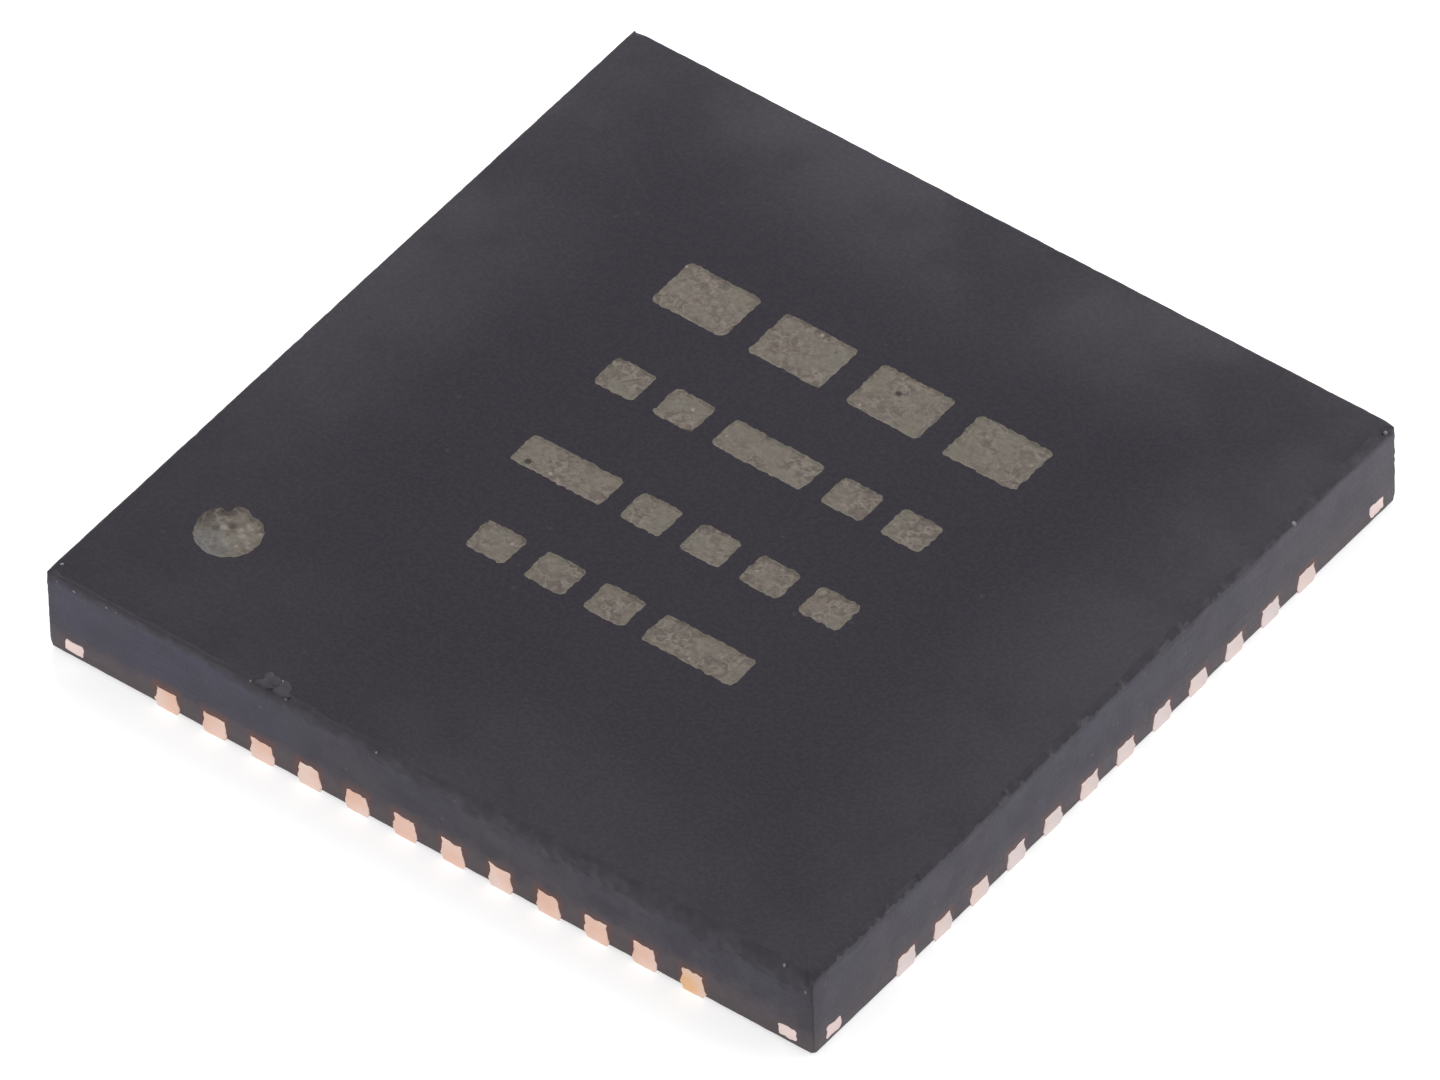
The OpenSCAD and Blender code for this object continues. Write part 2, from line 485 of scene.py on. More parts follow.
class Shading(Graph):
    """A material's nodes, which take shared effects and feed its Principled shader."""

    def __init__(self, material: Material) -> None:
        """Opens the material's nodes.

        Args:
            material: the material.
        """
        material.use_nodes = True
        super().__init__(material.node_tree)
        self.shader = self.tree.nodes["Principled BSDF"]

    def effect(self, effect: Effect, *values: float) -> NodeSocket:
        """Places a shared effect, which is built on first use.

        Args:
            effect: which effect.
            *values: its inputs, in order.

        Returns:
            The socket of its value over the surface.
        """
        if effect not in EFFECT_TREES:
            EFFECT_TREES[effect] = EffectGroup(effect).tree
        node = self.add("ShaderNodeGroup", node_tree=EFFECT_TREES[effect])
        for socket, value in zip(node.inputs, values, strict=True):
            socket.default_value = value
        return node.outputs["Value"]

    def grain(self, per_mm: float, detail: float) -> NodeSocket:
        """Returns cloudy noise from 0 to 1."""
        return self.effect(Effect.GRAIN, per_mm, detail, *RISING)

    def look(self, name: str, value: object) -> None:
        """Sets one of the shader's inputs, or joins a value to it."""
        self.feed(self.shader.inputs[name], value)

    def bump(self, height: object, depth_mm: float) -> None:
        """Roughens the surface.

        Args:
            height: the socket of the height, from 0 to 1.
            depth_mm: the depth that a height of 1 stands for.
        """
        node = self.add("ShaderNodeBump")
        node.inputs["Strength"].default_value = 1.0
        node.inputs["Distance"].default_value = depth_mm * MM
        self.feed(node.inputs["Height"], height)
        self.look("Normal", node.outputs["Normal"])


# Finishes


# Heights between which a painted shade darkens the front side under its top edge, and how much lower that
# is at its right end
UNDER_EDGE_MM = (0.74, 0.95, 0.13)


@dataclass(frozen=True)
class Finish:
    """A surface finish, made into one material."""

    name: str

    def material(self) -> Material:
        """Builds the finish's material on first use.

        Returns:
            The material.
        """
        made = bpy.data.materials.get(self.name)
        if made is None:
            made = bpy.data.materials.new(self.name)
            self.shade(Shading(made))
        return made

    def shade(self, shading: Shading) -> None:
        """Builds the finish's nodes; each kind of finish has its own."""
        raise NotImplementedError


@dataclass(frozen=True)
class MouldFinish(Finish):
    """Filled black epoxy, as moulded or taped, with a painted sheen near the edges where it has one."""

    dark: Colour
    light: Colour
    speck: Colour
    cloud_per_mm: float
    grain_per_mm: float
    grain_depth_mm: float
    speck_per_mm: float
    speck_share: float
    roughness: Point
    specular: float
    # Painted sheen: the tone lightens in patches towards the edges, and less along the front
    painted_sheen_colour: Colour | None = None
    sheen_reach_mm: float = 1.0
    sheen_front_share: float = 1.0
    sheen_patches: Point = (0.35, 1.0)
    speck_radius: float = 0.5

    def shade(self, shading: Shading) -> None:
        """Mixes cloudy tone, a painted sheen near the edges, filler specks and fine relief.

        Args:
            shading: the material's nodes.
        """
        cloud = shading.grain(self.cloud_per_mm, RICH_DETAIL)
        grain = shading.grain(self.grain_per_mm, FINE_DETAIL)
        specks = shading.effect(Effect.SPECKS, self.speck_per_mm, self.speck_share, self.speck_radius)
        colour = shading.mix(shading.average(cloud, grain), self.dark, self.light)
        # Painted sheen towards the edges, patchy, weaker along the front
        if self.painted_sheen_colour is not None:
            rim = shading.effect(Effect.RIM, HALF_WIDTH_MM, self.sheen_reach_mm, self.sheen_front_share)
            patchy = shading.remap(cloud, RISING, self.sheen_patches)
            colour = shading.mix(shading.times(rim, patchy), colour, self.painted_sheen_colour)
        shading.look("Base Color", shading.mix(specks, colour, self.speck))
        shading.look("Roughness", shading.remap(grain, RISING, self.roughness))
        shading.look("Specular IOR Level", self.specular)
        shading.bump(grain, self.grain_depth_mm)


@dataclass(frozen=True)
class Tint:
    """A colour that fades away from one place, in millimetres."""

    place_mm: Place
    reach_mm: float
    colour: Colour


@dataclass(frozen=True)
class SawnFinish(Finish):
    """Sawn epoxy: streaked, in cool and neutral patches, with painted shade under the top edge and at the
    front corner, stained round the lead ends.
    """

    dark: Colour
    cool: Colour
    neutral: Colour
    speck: Colour
    stain: Colour
    foot: Colour
    front_foot: Colour
    # Colour of the painted shade under the front top edge and near the front upright corner
    painted_edge_shade: Colour
    tints: tuple[Tint, ...]
    specular: float
    patch_per_mm: float = 1.4
    cloud_per_mm: float = 3.2
    grain_per_mm: float = 26.0
    lines_per_mm: float = 55.0
    line_length_mm: float = 0.8
    speck_per_mm: float = 20.0
    speck_share: float = 0.008
    speck_radius: float = 0.45
    cloud_share: float = 0.7
    fine_share: float = 0.3
    # Reach and strength of the painted shade near the front upright corner
    corner_reach_mm: float = 0.28
    corner_share: float = 0.55
    tint_patches: Point = (0.5, 0.9)
    foot_mm: Point = (0.46, 0.04)
    foot_patches: Point = (0.7, 1.0)
    front_foot_mm: Place = (0.46, 0.02, 0.0)
    front_foot_share: float = 0.8
    front_tilt: Point = (0.4, 0.8)
    lead_reach_mm: float = 3.0
    lead_fade_mm: float = 0.05
    stain_top_mm: Point = (0.28, 0.35)
    stain_full_mm: float = 0.23
    stain_strength: Point = (0.55, 1.0)
    stain_patches: Point = (0.6, 1.0)
    stain_off_lead: Point = (0.24, 0.36)
    roughness: Point = (0.5, 0.68)
    relief_mm: float = 0.002

    def shade(self, shading: Shading) -> None:
        """Mixes patches, clouds and saw lines, then the painted shade under the top edge and at the front
        corner, the warmer foot and the stains.

        Args:
            shading: the material's nodes.
        """
        cloud = shading.grain(self.cloud_per_mm, RICH_DETAIL)
        grain = shading.grain(self.grain_per_mm, FINE_DETAIL)
        lines = shading.effect(Effect.STREAKS, self.lines_per_mm, self.line_length_mm, *RISING)
        fine = shading.average(grain, lines)
        tone = shading.plus(shading.times(cloud, self.cloud_share), shading.times(fine, self.fine_share))
        patches = shading.grain(self.patch_per_mm, FINE_DETAIL)
        colour = shading.mix(tone, self.dark, shading.mix(patches, self.cool, self.neutral))
        for tint in self.tints:
            near = shading.effect(Effect.SPOT, *tint.place_mm, tint.reach_mm)
            uneven = shading.times(near, shading.remap(cloud, RISING, self.tint_patches))
            colour = shading.mix(uneven, colour, tint.colour)
        # Painted shade: darker under the front top edge, in patches, and towards the front upright corner
        edge_shade_mask = shading.effect(Effect.SMOKE, *UNDER_EDGE_MM)
        corner = shading.effect(Effect.CORNER, HALF_WIDTH_MM, self.corner_reach_mm)
        shaded = shading.larger(edge_shade_mask, shading.times(corner, self.corner_share))
        colour = shading.mix(shaded, colour, self.painted_edge_shade)
        low = shading.effect(Effect.HEIGHT, *self.foot_mm)
        patchy_low = shading.times(low, shading.remap(cloud, RISING, self.foot_patches))
        colour = shading.mix(patchy_low, colour, self.foot)
        front_low = shading.effect(Effect.SMOKE, *self.front_foot_mm)
        colour = shading.mix(shading.times(front_low, self.front_foot_share), colour, self.front_foot)
        colour = shading.mix(self._stained(shading, cloud), colour, self.stain)
        specks = shading.effect(Effect.SPECKS, self.speck_per_mm, self.speck_share, self.speck_radius)
        shading.look("Base Color", shading.mix(specks, colour, self.speck))
        shading.look("Roughness", shading.remap(fine, RISING, self.roughness))
        shading.look("Specular IOR Level", self.specular)
        shading.bump(fine, self.relief_mm)

    def _stained(self, shading: Shading, cloud: NodeSocket) -> NodeSocket:
        """Makes a mask of the stains round the lead ends, stronger on the front and the back.

        Args:
            shading: the material's nodes.
            cloud: the cloudy noise that makes them patchy.

        Returns:
            The mask's socket.
        """
        place = shading.place_xyz()
        front = shading.remap(shading.size(shading.facing_xyz()["Y"]), self.front_tilt, RISING)
        top = shading.remap(front, RISING, self.stain_top_mm)
        level = shading.remap(place["Z"], (top, self.stain_full_mm), RISING)
        strength = shading.remap(front, RISING, self.stain_strength)
        patchy = shading.times(shading.remap(cloud, RISING, self.stain_patches), strength)
        cell = shading.math("FRACT", shading.over(shading.plus(place["X"], place["Y"]), LEAD_PITCH_MM))
        off_lead = shading.size(shading.minus(cell, MIDDLE))
        near = shading.remap(off_lead, self.stain_off_lead, FALLING)
        from_middle = shading.math("MINIMUM", shading.size(place["X"]), shading.size(place["Y"]))
        last = (self.lead_reach_mm, self.lead_reach_mm + self.lead_fade_mm)
        at_lead = shading.times(near, shading.remap(from_middle, last, FALLING))
        return shading.times(at_lead, shading.times(level, patchy))


@dataclass(frozen=True)
class ChippedFinish(Finish):
    """Broken epoxy: like the top where it lies flat, and like the sawn side where it is steep, with painted
    sheen, shade and light.
    """

    flat: Colour
    # Painted sheen on flat faces near the edges
    flat_painted_sheen: Colour
    # Painted light on flat faces under the front top edge
    flat_painted_light: Colour
    steep: Colour
    pale: Colour
    # Painted shade on steep faces under the front top edge
    steep_painted_shade: Colour
    specular: float
    sheen_reach_mm: float
    sheen_front_share: float
    clean_place_mm: Place
    clean_reach_mm: float
    clean_share: float = 0.75
    lying_tilt: Point = (0.4, 0.75)
    lump_per_mm: float = 9.0
    flake_per_mm: float = 13.0
    flake_low_mm: Point = (0.882, 0.858)
    flake_low_share: float = 0.5
    flake_edge: Point = (1.02, 1.16)
    flake_show: Point = (0.0, 0.7)
    pale_edge: Point = (0.4, 1.0)
    pale_show: Point = (0.0, 0.6)
    pale_loss: float = 0.8
    roughness: Point = (0.55, 0.75)
    relief_mm: float = 0.002

    def shade(self, shading: Shading) -> None:
        """Shades from the top's tone to the side's, with a painted sheen near the edges, painted shade and
        light under the front top edge, bare flakes low on the edge and paler lumps.

        Args:
            shading: the material's nodes.
        """
        lumps = shading.grain(self.lump_per_mm, MID_DETAIL)
        lying = shading.effect(Effect.UPWARD, *self.lying_tilt)
        # Painted sheen on flat faces near the edges; under the front top edge, painted shade on steep faces
        # and painted light on flat faces
        sheen_mask = shading.effect(Effect.RIM, HALF_WIDTH_MM, self.sheen_reach_mm, self.sheen_front_share)
        edge_shade_mask = shading.effect(Effect.SMOKE, *UNDER_EDGE_MM)
        wall = shading.mix(edge_shade_mask, self.steep, self.steep_painted_shade)
        floor = shading.mix(edge_shade_mask, shading.mix(sheen_mask, self.flat, self.flat_painted_sheen), self.flat_painted_light)
        low = shading.effect(Effect.HEIGHT, *self.flake_low_mm)
        raised = shading.plus(
            shading.grain(self.flake_per_mm, FINE_DETAIL), shading.times(low, self.flake_low_share)
        )
        flakes = shading.remap(raised, self.flake_edge, self.flake_show)
        clean = shading.effect(Effect.SPOT, *self.clean_place_mm, self.clean_reach_mm)
        hidden = shading.larger(edge_shade_mask, shading.times(clean, self.clean_share))
        bare_flakes = shading.times(flakes, shading.minus(1.0, hidden))
        colour = shading.mix(shading.times(lying, shading.minus(1.0, bare_flakes)), wall, floor)
        kept = shading.minus(1.0, shading.times(shading.larger(lying, edge_shade_mask), self.pale_loss))
        paler = shading.times(shading.remap(lumps, self.pale_edge, self.pale_show), kept)
        shading.look("Base Color", shading.mix(paler, colour, self.pale))
        shading.look("Roughness", shading.remap(lumps, RISING, self.roughness))
        shading.look("Specular IOR Level", self.specular)
        shading.bump(lumps, self.relief_mm)


@dataclass(frozen=True)
class EngravedFinish(Finish):
    """Epoxy burnt by a laser: olive and tan patches, dark pits, one cooler spot, painted shadow spots, and
    painted highlights as pale glints, ridges and spots.

    Each place is x, y and the reach of a round spot on the engraved floor, in millimetres.
    """

    dark: Colour
    olive: Colour
    tan: Colour
    cool: Colour
    pit: Colour
    # Colour of the painted highlights: glints, ridges and pale spots
    glint: Colour
    # Colour of the painted shadow spots
    painted_shadow: Colour
    specular: float
    floor_mm: float
    cool_places: tuple[Place, ...]
    # Round places of painted shadow, then of painted highlight
    painted_shadow_places: tuple[Place, ...]
    painted_highlight_places: tuple[Place, ...]
    patch_per_mm: float = 3.5
    lump_per_mm: float = 11.0
    crack_width: float = 0.3
    crack_depths: Point = (0.08, 0.5)
    crack_relief: float = 1.6
    grain_per_mm: float = 22.0
    grain_share: float = 0.4
    painted_shadow_share: float = 0.9
    pits: Place = (7.0, 0.05, 0.3)
    glints: Place = (12.0, 0.05, 0.3)
    swirl_per_mm: float = 7.0
    ridge_edge: Point = (0.0, 0.2)
    ridge_show: Point = (0.6, 0.0)
    highlight_show: Point = (0.9, 0.3)
    roughness: Point = (0.85, 0.65)
    relief_mm: float = 0.006

    def shade(self, shading: Shading) -> None:
        """Mixes the patch colours, then the painted shadow spots, the painted highlights of pale spots,
        ridges and glints, and the pits.

        Args:
            shading: the material's nodes.
        """
        patches = shading.grain(self.patch_per_mm, FINE_DETAIL)
        lumps = shading.effect(Effect.LUMPS, self.lump_per_mm)
        cracks = shading.effect(Effect.CRACKS, self.lump_per_mm, self.crack_width)
        grain = shading.grain(self.grain_per_mm, MID_DETAIL)
        hue = shading.mix(shading.average(patches, lumps), self.olive, self.tan)
        hue = shading.mix(self._spots(shading, self.cool_places), hue, self.cool)
        sunken = shading.times(cracks, shading.remap(patches, RISING, self.crack_depths))
        uneven = shading.plus(sunken, shading.times(grain, self.grain_share))
        # Painted shadow in a few round spots
        shadow_mask = shading.times(self._spots(shading, self.painted_shadow_places), self.painted_shadow_share)
        hue = shading.mix(shadow_mask, hue, self.painted_shadow)
        colour = shading.mix(shading.larger(shadow_mask, uneven), hue, self.dark)
        # Painted highlights: pale ridges, pale spots and glints
        swirl = shading.grain(self.swirl_per_mm, FINE_DETAIL)
        off_ridge = shading.size(shading.minus(swirl, MIDDLE))
        ridges = shading.times(shading.remap(off_ridge, self.ridge_edge, self.ridge_show), patches)
        grained = shading.remap(grain, RISING, self.highlight_show)
        raised = shading.times(self._spots(shading, self.painted_highlight_places), grained)
        glints = shading.effect(Effect.SPECKS, *self.glints)
        pale = shading.larger(glints, shading.larger(ridges, raised))
        colour = shading.mix(pale, colour, self.glint)
        pits = shading.effect(Effect.SPECKS, *self.pits)
        shading.look("Base Color", shading.mix(pits, colour, self.pit))
        shading.look("Roughness", shading.remap(grain, RISING, self.roughness))
        shading.look("Specular IOR Level", self.specular)
        shading.bump(shading.minus(grain, shading.times(sunken, self.crack_relief)), self.relief_mm)

    def _spots(self, shading: Shading, places: Sequence[Place]) -> NodeSocket:
        """Makes a mask that is 1 in a few round places.

        Args:
            shading: the material's nodes.
            places: the places.

        Returns:
            The mask's socket.
        """
        masks = [shading.effect(Effect.SPOT, x, y, self.floor_mm, reach) for x, y, reach in places]
        return reduce(shading.larger, masks)


@dataclass(frozen=True)
class LeadFinish(Finish):
    """Etched copper: bare and sawn at its ends, tinned on the soldered faces."""

    copper: Colour
    copper_pale: Colour
    # Painted paler sheen on the faces that look along X
    copper_painted_sheen: Colour
    spot: Tint | None = None
    tin: Colour = (0.72, 0.72, 0.71)
    tin_dull: Colour = (0.5, 0.5, 0.5)
    tin_tilt: Point = (-0.6, -0.9)
    side_tilt: Point = (0.15, 0.5)
    low_mm: Point = (0.17, 0.02)
    cast_per_mm: float = 2.3
    lines_per_mm: float = 45.0
    line_length_mm: float = 0.6
    crystals_per_mm: float = 55.0
    cast_share: float = 0.7
    low_share: float = 0.15
    line_share: float = 0.15
    side_sheen_show: Point = (0.75, 1.0)
    roughness: Point = (0.42, 0.6)
    relief_mm: float = 0.002

    def shade(self, shading: Shading) -> None:
        """Chooses tin on faces that look down and streaked copper elsewhere, with a painted paler sheen on
        the X sides.

        Args:
            shading: the material's nodes.
        """
        low = shading.effect(Effect.HEIGHT, *self.low_mm)
        cast = shading.grain(self.cast_per_mm, MID_DETAIL)
        lines = shading.effect(Effect.STREAKS, self.lines_per_mm, self.line_length_mm, *RISING)
        crystals = shading.grain(self.crystals_per_mm, FINE_DETAIL)
        uneven = shading.plus(shading.times(cast, self.cast_share), shading.times(low, self.low_share))
        tone = shading.plus(uneven, shading.times(lines, self.line_share))
        copper = shading.mix(tone, self.copper, self.copper_pale)
        if self.spot is not None:
            near = shading.effect(Effect.SPOT, *self.spot.place_mm, self.spot.reach_mm)
            copper = shading.mix(near, copper, self.spot.colour)
        # Painted sheen: ends that face along X turn paler and greyer
        sideways = shading.remap(shading.size(shading.facing_xyz()["X"]), self.side_tilt, RISING)
        side_sheen_mask = shading.times(sideways, shading.remap(tone, RISING, self.side_sheen_show))
        copper = shading.mix(side_sheen_mask, copper, self.copper_painted_sheen)
        tin = shading.mix(crystals, self.tin_dull, self.tin)
        downward = shading.effect(Effect.UPWARD, *self.tin_tilt)
        shading.look("Base Color", shading.mix(downward, copper, tin))
        shading.look("Metallic", 1.0)
        shading.look("Roughness", shading.remap(lines, RISING, self.roughness))
        shading.bump(shading.average(lines, crystals), self.relief_mm)


@dataclass(frozen=True)
class GrainedFinish(Finish):
    """A plain grained finish, for pieces that are tiny or sealed in the moulding."""

    dark: Colour
    light: Colour
    grain_per_mm: float
    roughness: Point
    metallic: float = 0.0

    def shade(self, shading: Shading) -> None:
        """Gives a grained tone and a matching gloss.

        Args:
            shading: the material's nodes.
        """
        grain = shading.grain(self.grain_per_mm, MID_DETAIL)
        shading.look("Base Color", shading.mix(grain, self.dark, self.light))
        shading.look("Roughness", shading.remap(grain, RISING, self.roughness))
        shading.look("Metallic", self.metallic)


@dataclass(frozen=True)
class FloorFinish(Finish):
    """A pale matte floor that keeps the part's shadow and shows white where it is fully lit."""

    dark: Colour
    light: Colour
    glow: float
    cloud_per_mm: float = 0.05
    tone: Point = (0.97, 1.0)
    roughness: float = 0.9

    def shade(self, shading: Shading) -> None:
        """Gives an even tone, and a glow that is only seen directly.

        Args:
            shading: the material's nodes.
        """
        cloud = shading.effect(Effect.GRAIN, self.cloud_per_mm, FINE_DETAIL, *self.tone)
        shading.look("Base Color", shading.mix(cloud, self.dark, self.light))
        shading.look("Roughness", self.roughness)
        shading.look("Specular IOR Level", 0.0)
        shading.look("Emission Color", WHITE)
        shading.look("Emission Strength", shading.times(shading.seen_directly(), self.glow))


MOULDED_TOP = MouldFinish(
    name="moulded top",
    dark=(0.0164, 0.0141, 0.0212),
    light=(0.0224, 0.0196, 0.0275),
    speck=(0.034, 0.031, 0.036),
    cloud_per_mm=0.6,
    grain_per_mm=28.0,
    grain_depth_mm=0.001,
    speck_per_mm=16.0,
    speck_share=0.006,
    roughness=(0.6, 0.7),
    specular=0.2,
    # Painted sheen colour near the edges
    painted_sheen_colour=(0.055, 0.0485, 0.061),
    sheen_reach_mm=1.8,
    sheen_front_share=0.5,
)
SAWN_SIDE = SawnFinish(
    name="sawn side",
    dark=(0.066, 0.0605, 0.079),
    cool=(0.092, 0.0875, 0.113),
    neutral=(0.1, 0.091, 0.11),
    speck=(0.115, 0.11, 0.128),
    stain=(0.22, 0.114, 0.1),
    foot=(0.136, 0.119, 0.13),
    front_foot=(0.166, 0.137, 0.147),
    # Painted shade colour under the front top edge and near the front corner
    painted_edge_shade=(0.05, 0.046, 0.056),
    tints=(
        Tint((-3.1, -4.0, 0.5), 2.4, (0.091, 0.087, 0.125)),
        Tint((4.0, 3.5, 0.4), 2.4, (0.1, 0.0925, 0.1105)),
    ),
    specular=0.25,
)
CHIPPED_EDGE = ChippedFinish(
    name="chipped edge",
    flat=(0.0195, 0.0172, 0.0225),
    # Painted sheen
    flat_painted_sheen=(0.037, 0.0325, 0.0405),
    # Painted light
    flat_painted_light=(0.0495, 0.044, 0.0538),
    steep=(0.086, 0.079, 0.1),
    pale=(0.108, 0.1, 0.118),
    # Painted shade
    steep_painted_shade=(0.058, 0.0535, 0.0645),
    specular=0.3,
    sheen_reach_mm=MOULDED_TOP.sheen_reach_mm,
    sheen_front_share=MOULDED_TOP.sheen_front_share,
    clean_place_mm=(4.0, 3.3, 0.88),
    clean_reach_mm=2.0,
)
TAPED_UNDERSIDE = MouldFinish(
    name="taped underside",
    dark=(0.034, 0.032, 0.036),
    light=(0.046, 0.044, 0.049),
    speck=(0.07, 0.068, 0.075),
    cloud_per_mm=0.9,
    grain_per_mm=18.0,
    grain_depth_mm=0.003,
    speck_per_mm=14.0,
    speck_share=0.03,
    roughness=(0.42, 0.55),
    specular=0.25,
)
ENGRAVED_MARK = EngravedFinish(
    name="engraved mark",
    dark=(0.105, 0.089, 0.08),
    olive=(0.22, 0.206, 0.165),
    tan=(0.238, 0.191, 0.167),
    cool=(0.2, 0.196, 0.196),
    pit=(0.055, 0.046, 0.043),
    # Painted highlight colour, then painted shadow colour
    glint=(0.31, 0.282, 0.244),
    painted_shadow=(0.112, 0.106, 0.086),
    specular=0.2,
    floor_mm=0.88,
    cool_places=((-3.13, -2.97, 0.28),),
    # Painted shadow spots, then painted highlight spots
    painted_shadow_places=((-3.37, -2.7, 0.22), (-3.24, -2.53, 0.14), (-3.19, -2.75, 0.06), (-3.09, -2.65, 0.055)),
    painted_highlight_places=(
        (-3.02, -2.82, 0.07),
        (-3.14, -2.71, 0.05),
        (-2.95, -2.71, 0.06),
        (-2.84, -2.75, 0.07),
        (-2.95, -2.57, 0.07),
        (-3.0, -2.66, 0.05),
    ),
)
# Each copper finish's third colour is a painted paler sheen on the X-facing ends
ETCHED_COPPER = LeadFinish(
    name="etched copper",
    copper=(0.775, 0.51, 0.4),
    copper_pale=(0.815, 0.68, 0.625),
    copper_painted_sheen=(0.67, 0.595, 0.585),
)
PALE_COPPER = LeadFinish(
    name="pale sawn copper",
    copper=(0.8, 0.64, 0.585),
    copper_pale=(0.82, 0.7, 0.66),
    copper_painted_sheen=(0.735, 0.6, 0.59),
)
WARM_COPPER = LeadFinish(
    name="warm sawn copper",
    copper=(0.76, 0.56, 0.44),
    copper_pale=(0.77, 0.63, 0.56),
    copper_painted_sheen=(0.78, 0.62, 0.52),
    spot=Tint((2.69, -4.0, 0.08), 0.17, (0.79, 0.51, 0.3)),
)
# Pale grains that stand in as painted glints on the broken edges
GLINT_GRAIN = GrainedFinish(
    name="painted glint grain",
    dark=(0.15, 0.143, 0.142),
    light=(0.34, 0.325, 0.315),
    grain_per_mm=60.0,
    roughness=(0.5, 0.7),
)
BROKEN_FLAKE = GrainedFinish(
    name="broken flake",
    dark=(0.0165, 0.0135, 0.0195),
    light=(0.03, 0.0253, 0.033),
    grain_per_mm=14.0,
    roughness=(0.6, 0.75),
)
DIE_SILICON = GrainedFinish(
    name="die silicon",
    dark=(0.1, 0.11, 0.14),
    light=(0.17, 0.18, 0.22),
    grain_per_mm=9.0,
    roughness=(0.15, 0.3),
)
SILVER_ADHESIVE = GrainedFinish(
    name="silver adhesive",
    dark=(0.42, 0.42, 0.42),
    light=(0.62, 0.62, 0.6),
    grain_per_mm=35.0,
    roughness=(0.4, 0.6),
)
COPPER_WIRE = GrainedFinish(
    name="copper wire",
    dark=(0.68, 0.36, 0.2),
    light=(0.78, 0.47, 0.3),
    grain_per_mm=20.0,
    roughness=(0.22, 0.35),
    metallic=1.0,
)
PALE_FLOOR = FloorFinish(
    name="pale floor",
    dark=(0.78, 0.78, 0.78),
    light=(0.82, 0.82, 0.82),
    glow=0.62,
)


# Outlines in the plane, in millimetres


def rounded_rectangle(middle: Point, size: Point, radius: float, step: float) -> list[Point]:
    """Samples a rectangle with round corners.

    Args:
        middle: its centre.
        size: its width and height.
        radius: its corner radius.
        step: the distance between points, about.

    Returns:
        The outline's points, anticlockwise.
    """
    half = (size[0] / 2 - radius, size[1] / 2 - radius)
    arc_steps = max(2, round(radius * math.pi / 2 / step))
    points: list[Point] = []
    corners = ((1, -1), (1, 1), (-1, 1), (-1, -1))
    for number, (sign_x, sign_y) in enumerate(corners):
        centre = (middle[0] + sign_x * half[0], middle[1] + sign_y * half[1])
        for index in range(arc_steps + 1):
            turn = math.radians(90 * (number - 1 + index / arc_steps))
            points.append((centre[0] + radius * math.cos(turn), centre[1] + radius * math.sin(turn)))
    return even_steps(points, step)


def even_steps(points: Sequence[Point], step: float) -> list[Point]:
    """Splits a closed outline's long edges.

    Args:
        points: the outline.
        step: the longest edge wanted.

    Returns:
        The outline with more points.
    """
    split: list[Point] = []
    for (x, y), (next_x, next_y) in zip(points, [*points[1:], points[0]]):
        pieces = max(1, math.ceil(math.hypot(next_x - x, next_y - y) / step))
        split += [(x + (next_x - x) * i / pieces, y + (next_y - y) * i / pieces) for i in range(pieces)]
    return split


def ragged(points: Sequence[Point], amount: float, pitch: float, seed: float) -> list[Point]:
    """Moves an outline's points by smooth noise.

    Args:
        points: the outline.
        amount: the furthest that a point moves.
        pitch: the length of the waves.
        seed: picks the pattern.

    Returns:
        The ragged outline.
    """
    moved: list[Point] = []
    for x, y in points:
        place = Vector((x / pitch, y / pitch, seed))
        across = noise.noise(place)
        along = noise.noise(place + OTHER_NOISE)
        moved.append((x + amount * across, y + amount * along))
    return moved


def inset(points: Sequence[Point], distance: float, reach: int = 3) -> list[Point]:
    """Moves an anticlockwise outline's points inwards.

    Args:
        points: the outline.
        distance: how far in.
        reach: how many points away the two lie that give the outline's heading at a point.

    Returns:
        The smaller outline, with as many points.
    """
    moved: list[Point] = []
    for index, (x, y) in enumerate(points):
        before = points[index - reach]
        after = points[(index + reach) % len(points)]
        heading = Vector((after[0] - before[0], after[1] - before[1])).normalized()
        moved.append((x - heading.y * distance, y + heading.x * distance))
    return moved


# Meshes


def quarter_turns(side: int) -> Quaternion:
    """Returns the turn that brings the -Y side to another side, counting anticlockwise."""
    return Quaternion(UPWARD_AXIS, math.radians(90 * side))


def join_rings(
    shape: BMesh, outer: Sequence[BMVert], inner: Sequence[BMVert], slot: int, smooth: bool = False
) -> None:
    """Joins two closed rings of as many points with a band of faces.

    Args:
        shape: the mesh.
        outer: the first ring.
        inner: the second ring.
        slot: the material slot that the faces take.
        smooth: whether they are shaded as one curved surface.
    """
    for index in range(len(outer)):
        following = (index + 1) % len(outer)
        face = shape.faces.new((outer[index], inner[index], inner[following], outer[following]))
        face.material_index = slot
        face.smooth = smooth


def new_piece(shape: BMesh, name: str, finishes: Sequence[Finish]) -> Object:
    """Turns a shape into an object of the scene, and frees it.

    Args:
        shape: the mesh.
        name: the object's name.
        finishes: the finishes of its material slots, in order.

    Returns:
        The new object.
    """
    mesh = bpy.data.meshes.new(name)
    shape.to_mesh(mesh)
    shape.free()
    for finish in finishes:
        mesh.materials.append(finish.material())
    piece = bpy.data.objects.new(name, mesh)
    bpy.context.scene.collection.objects.link(piece)
    return piece


def put_finish(node: Object, finish: Finish) -> None:
    """Gives a CAD node a finish in all its material slots."""
    for slot in node.material_slots:
        slot.material = finish.material()


# Moulded body


class Skin(IntEnum):
    """Material slots of the moulded body."""

    TOP = 0
    SAWN = 1
    CHIPPED = 2
    UNDERSIDE = 3
    ENGRAVED = 4


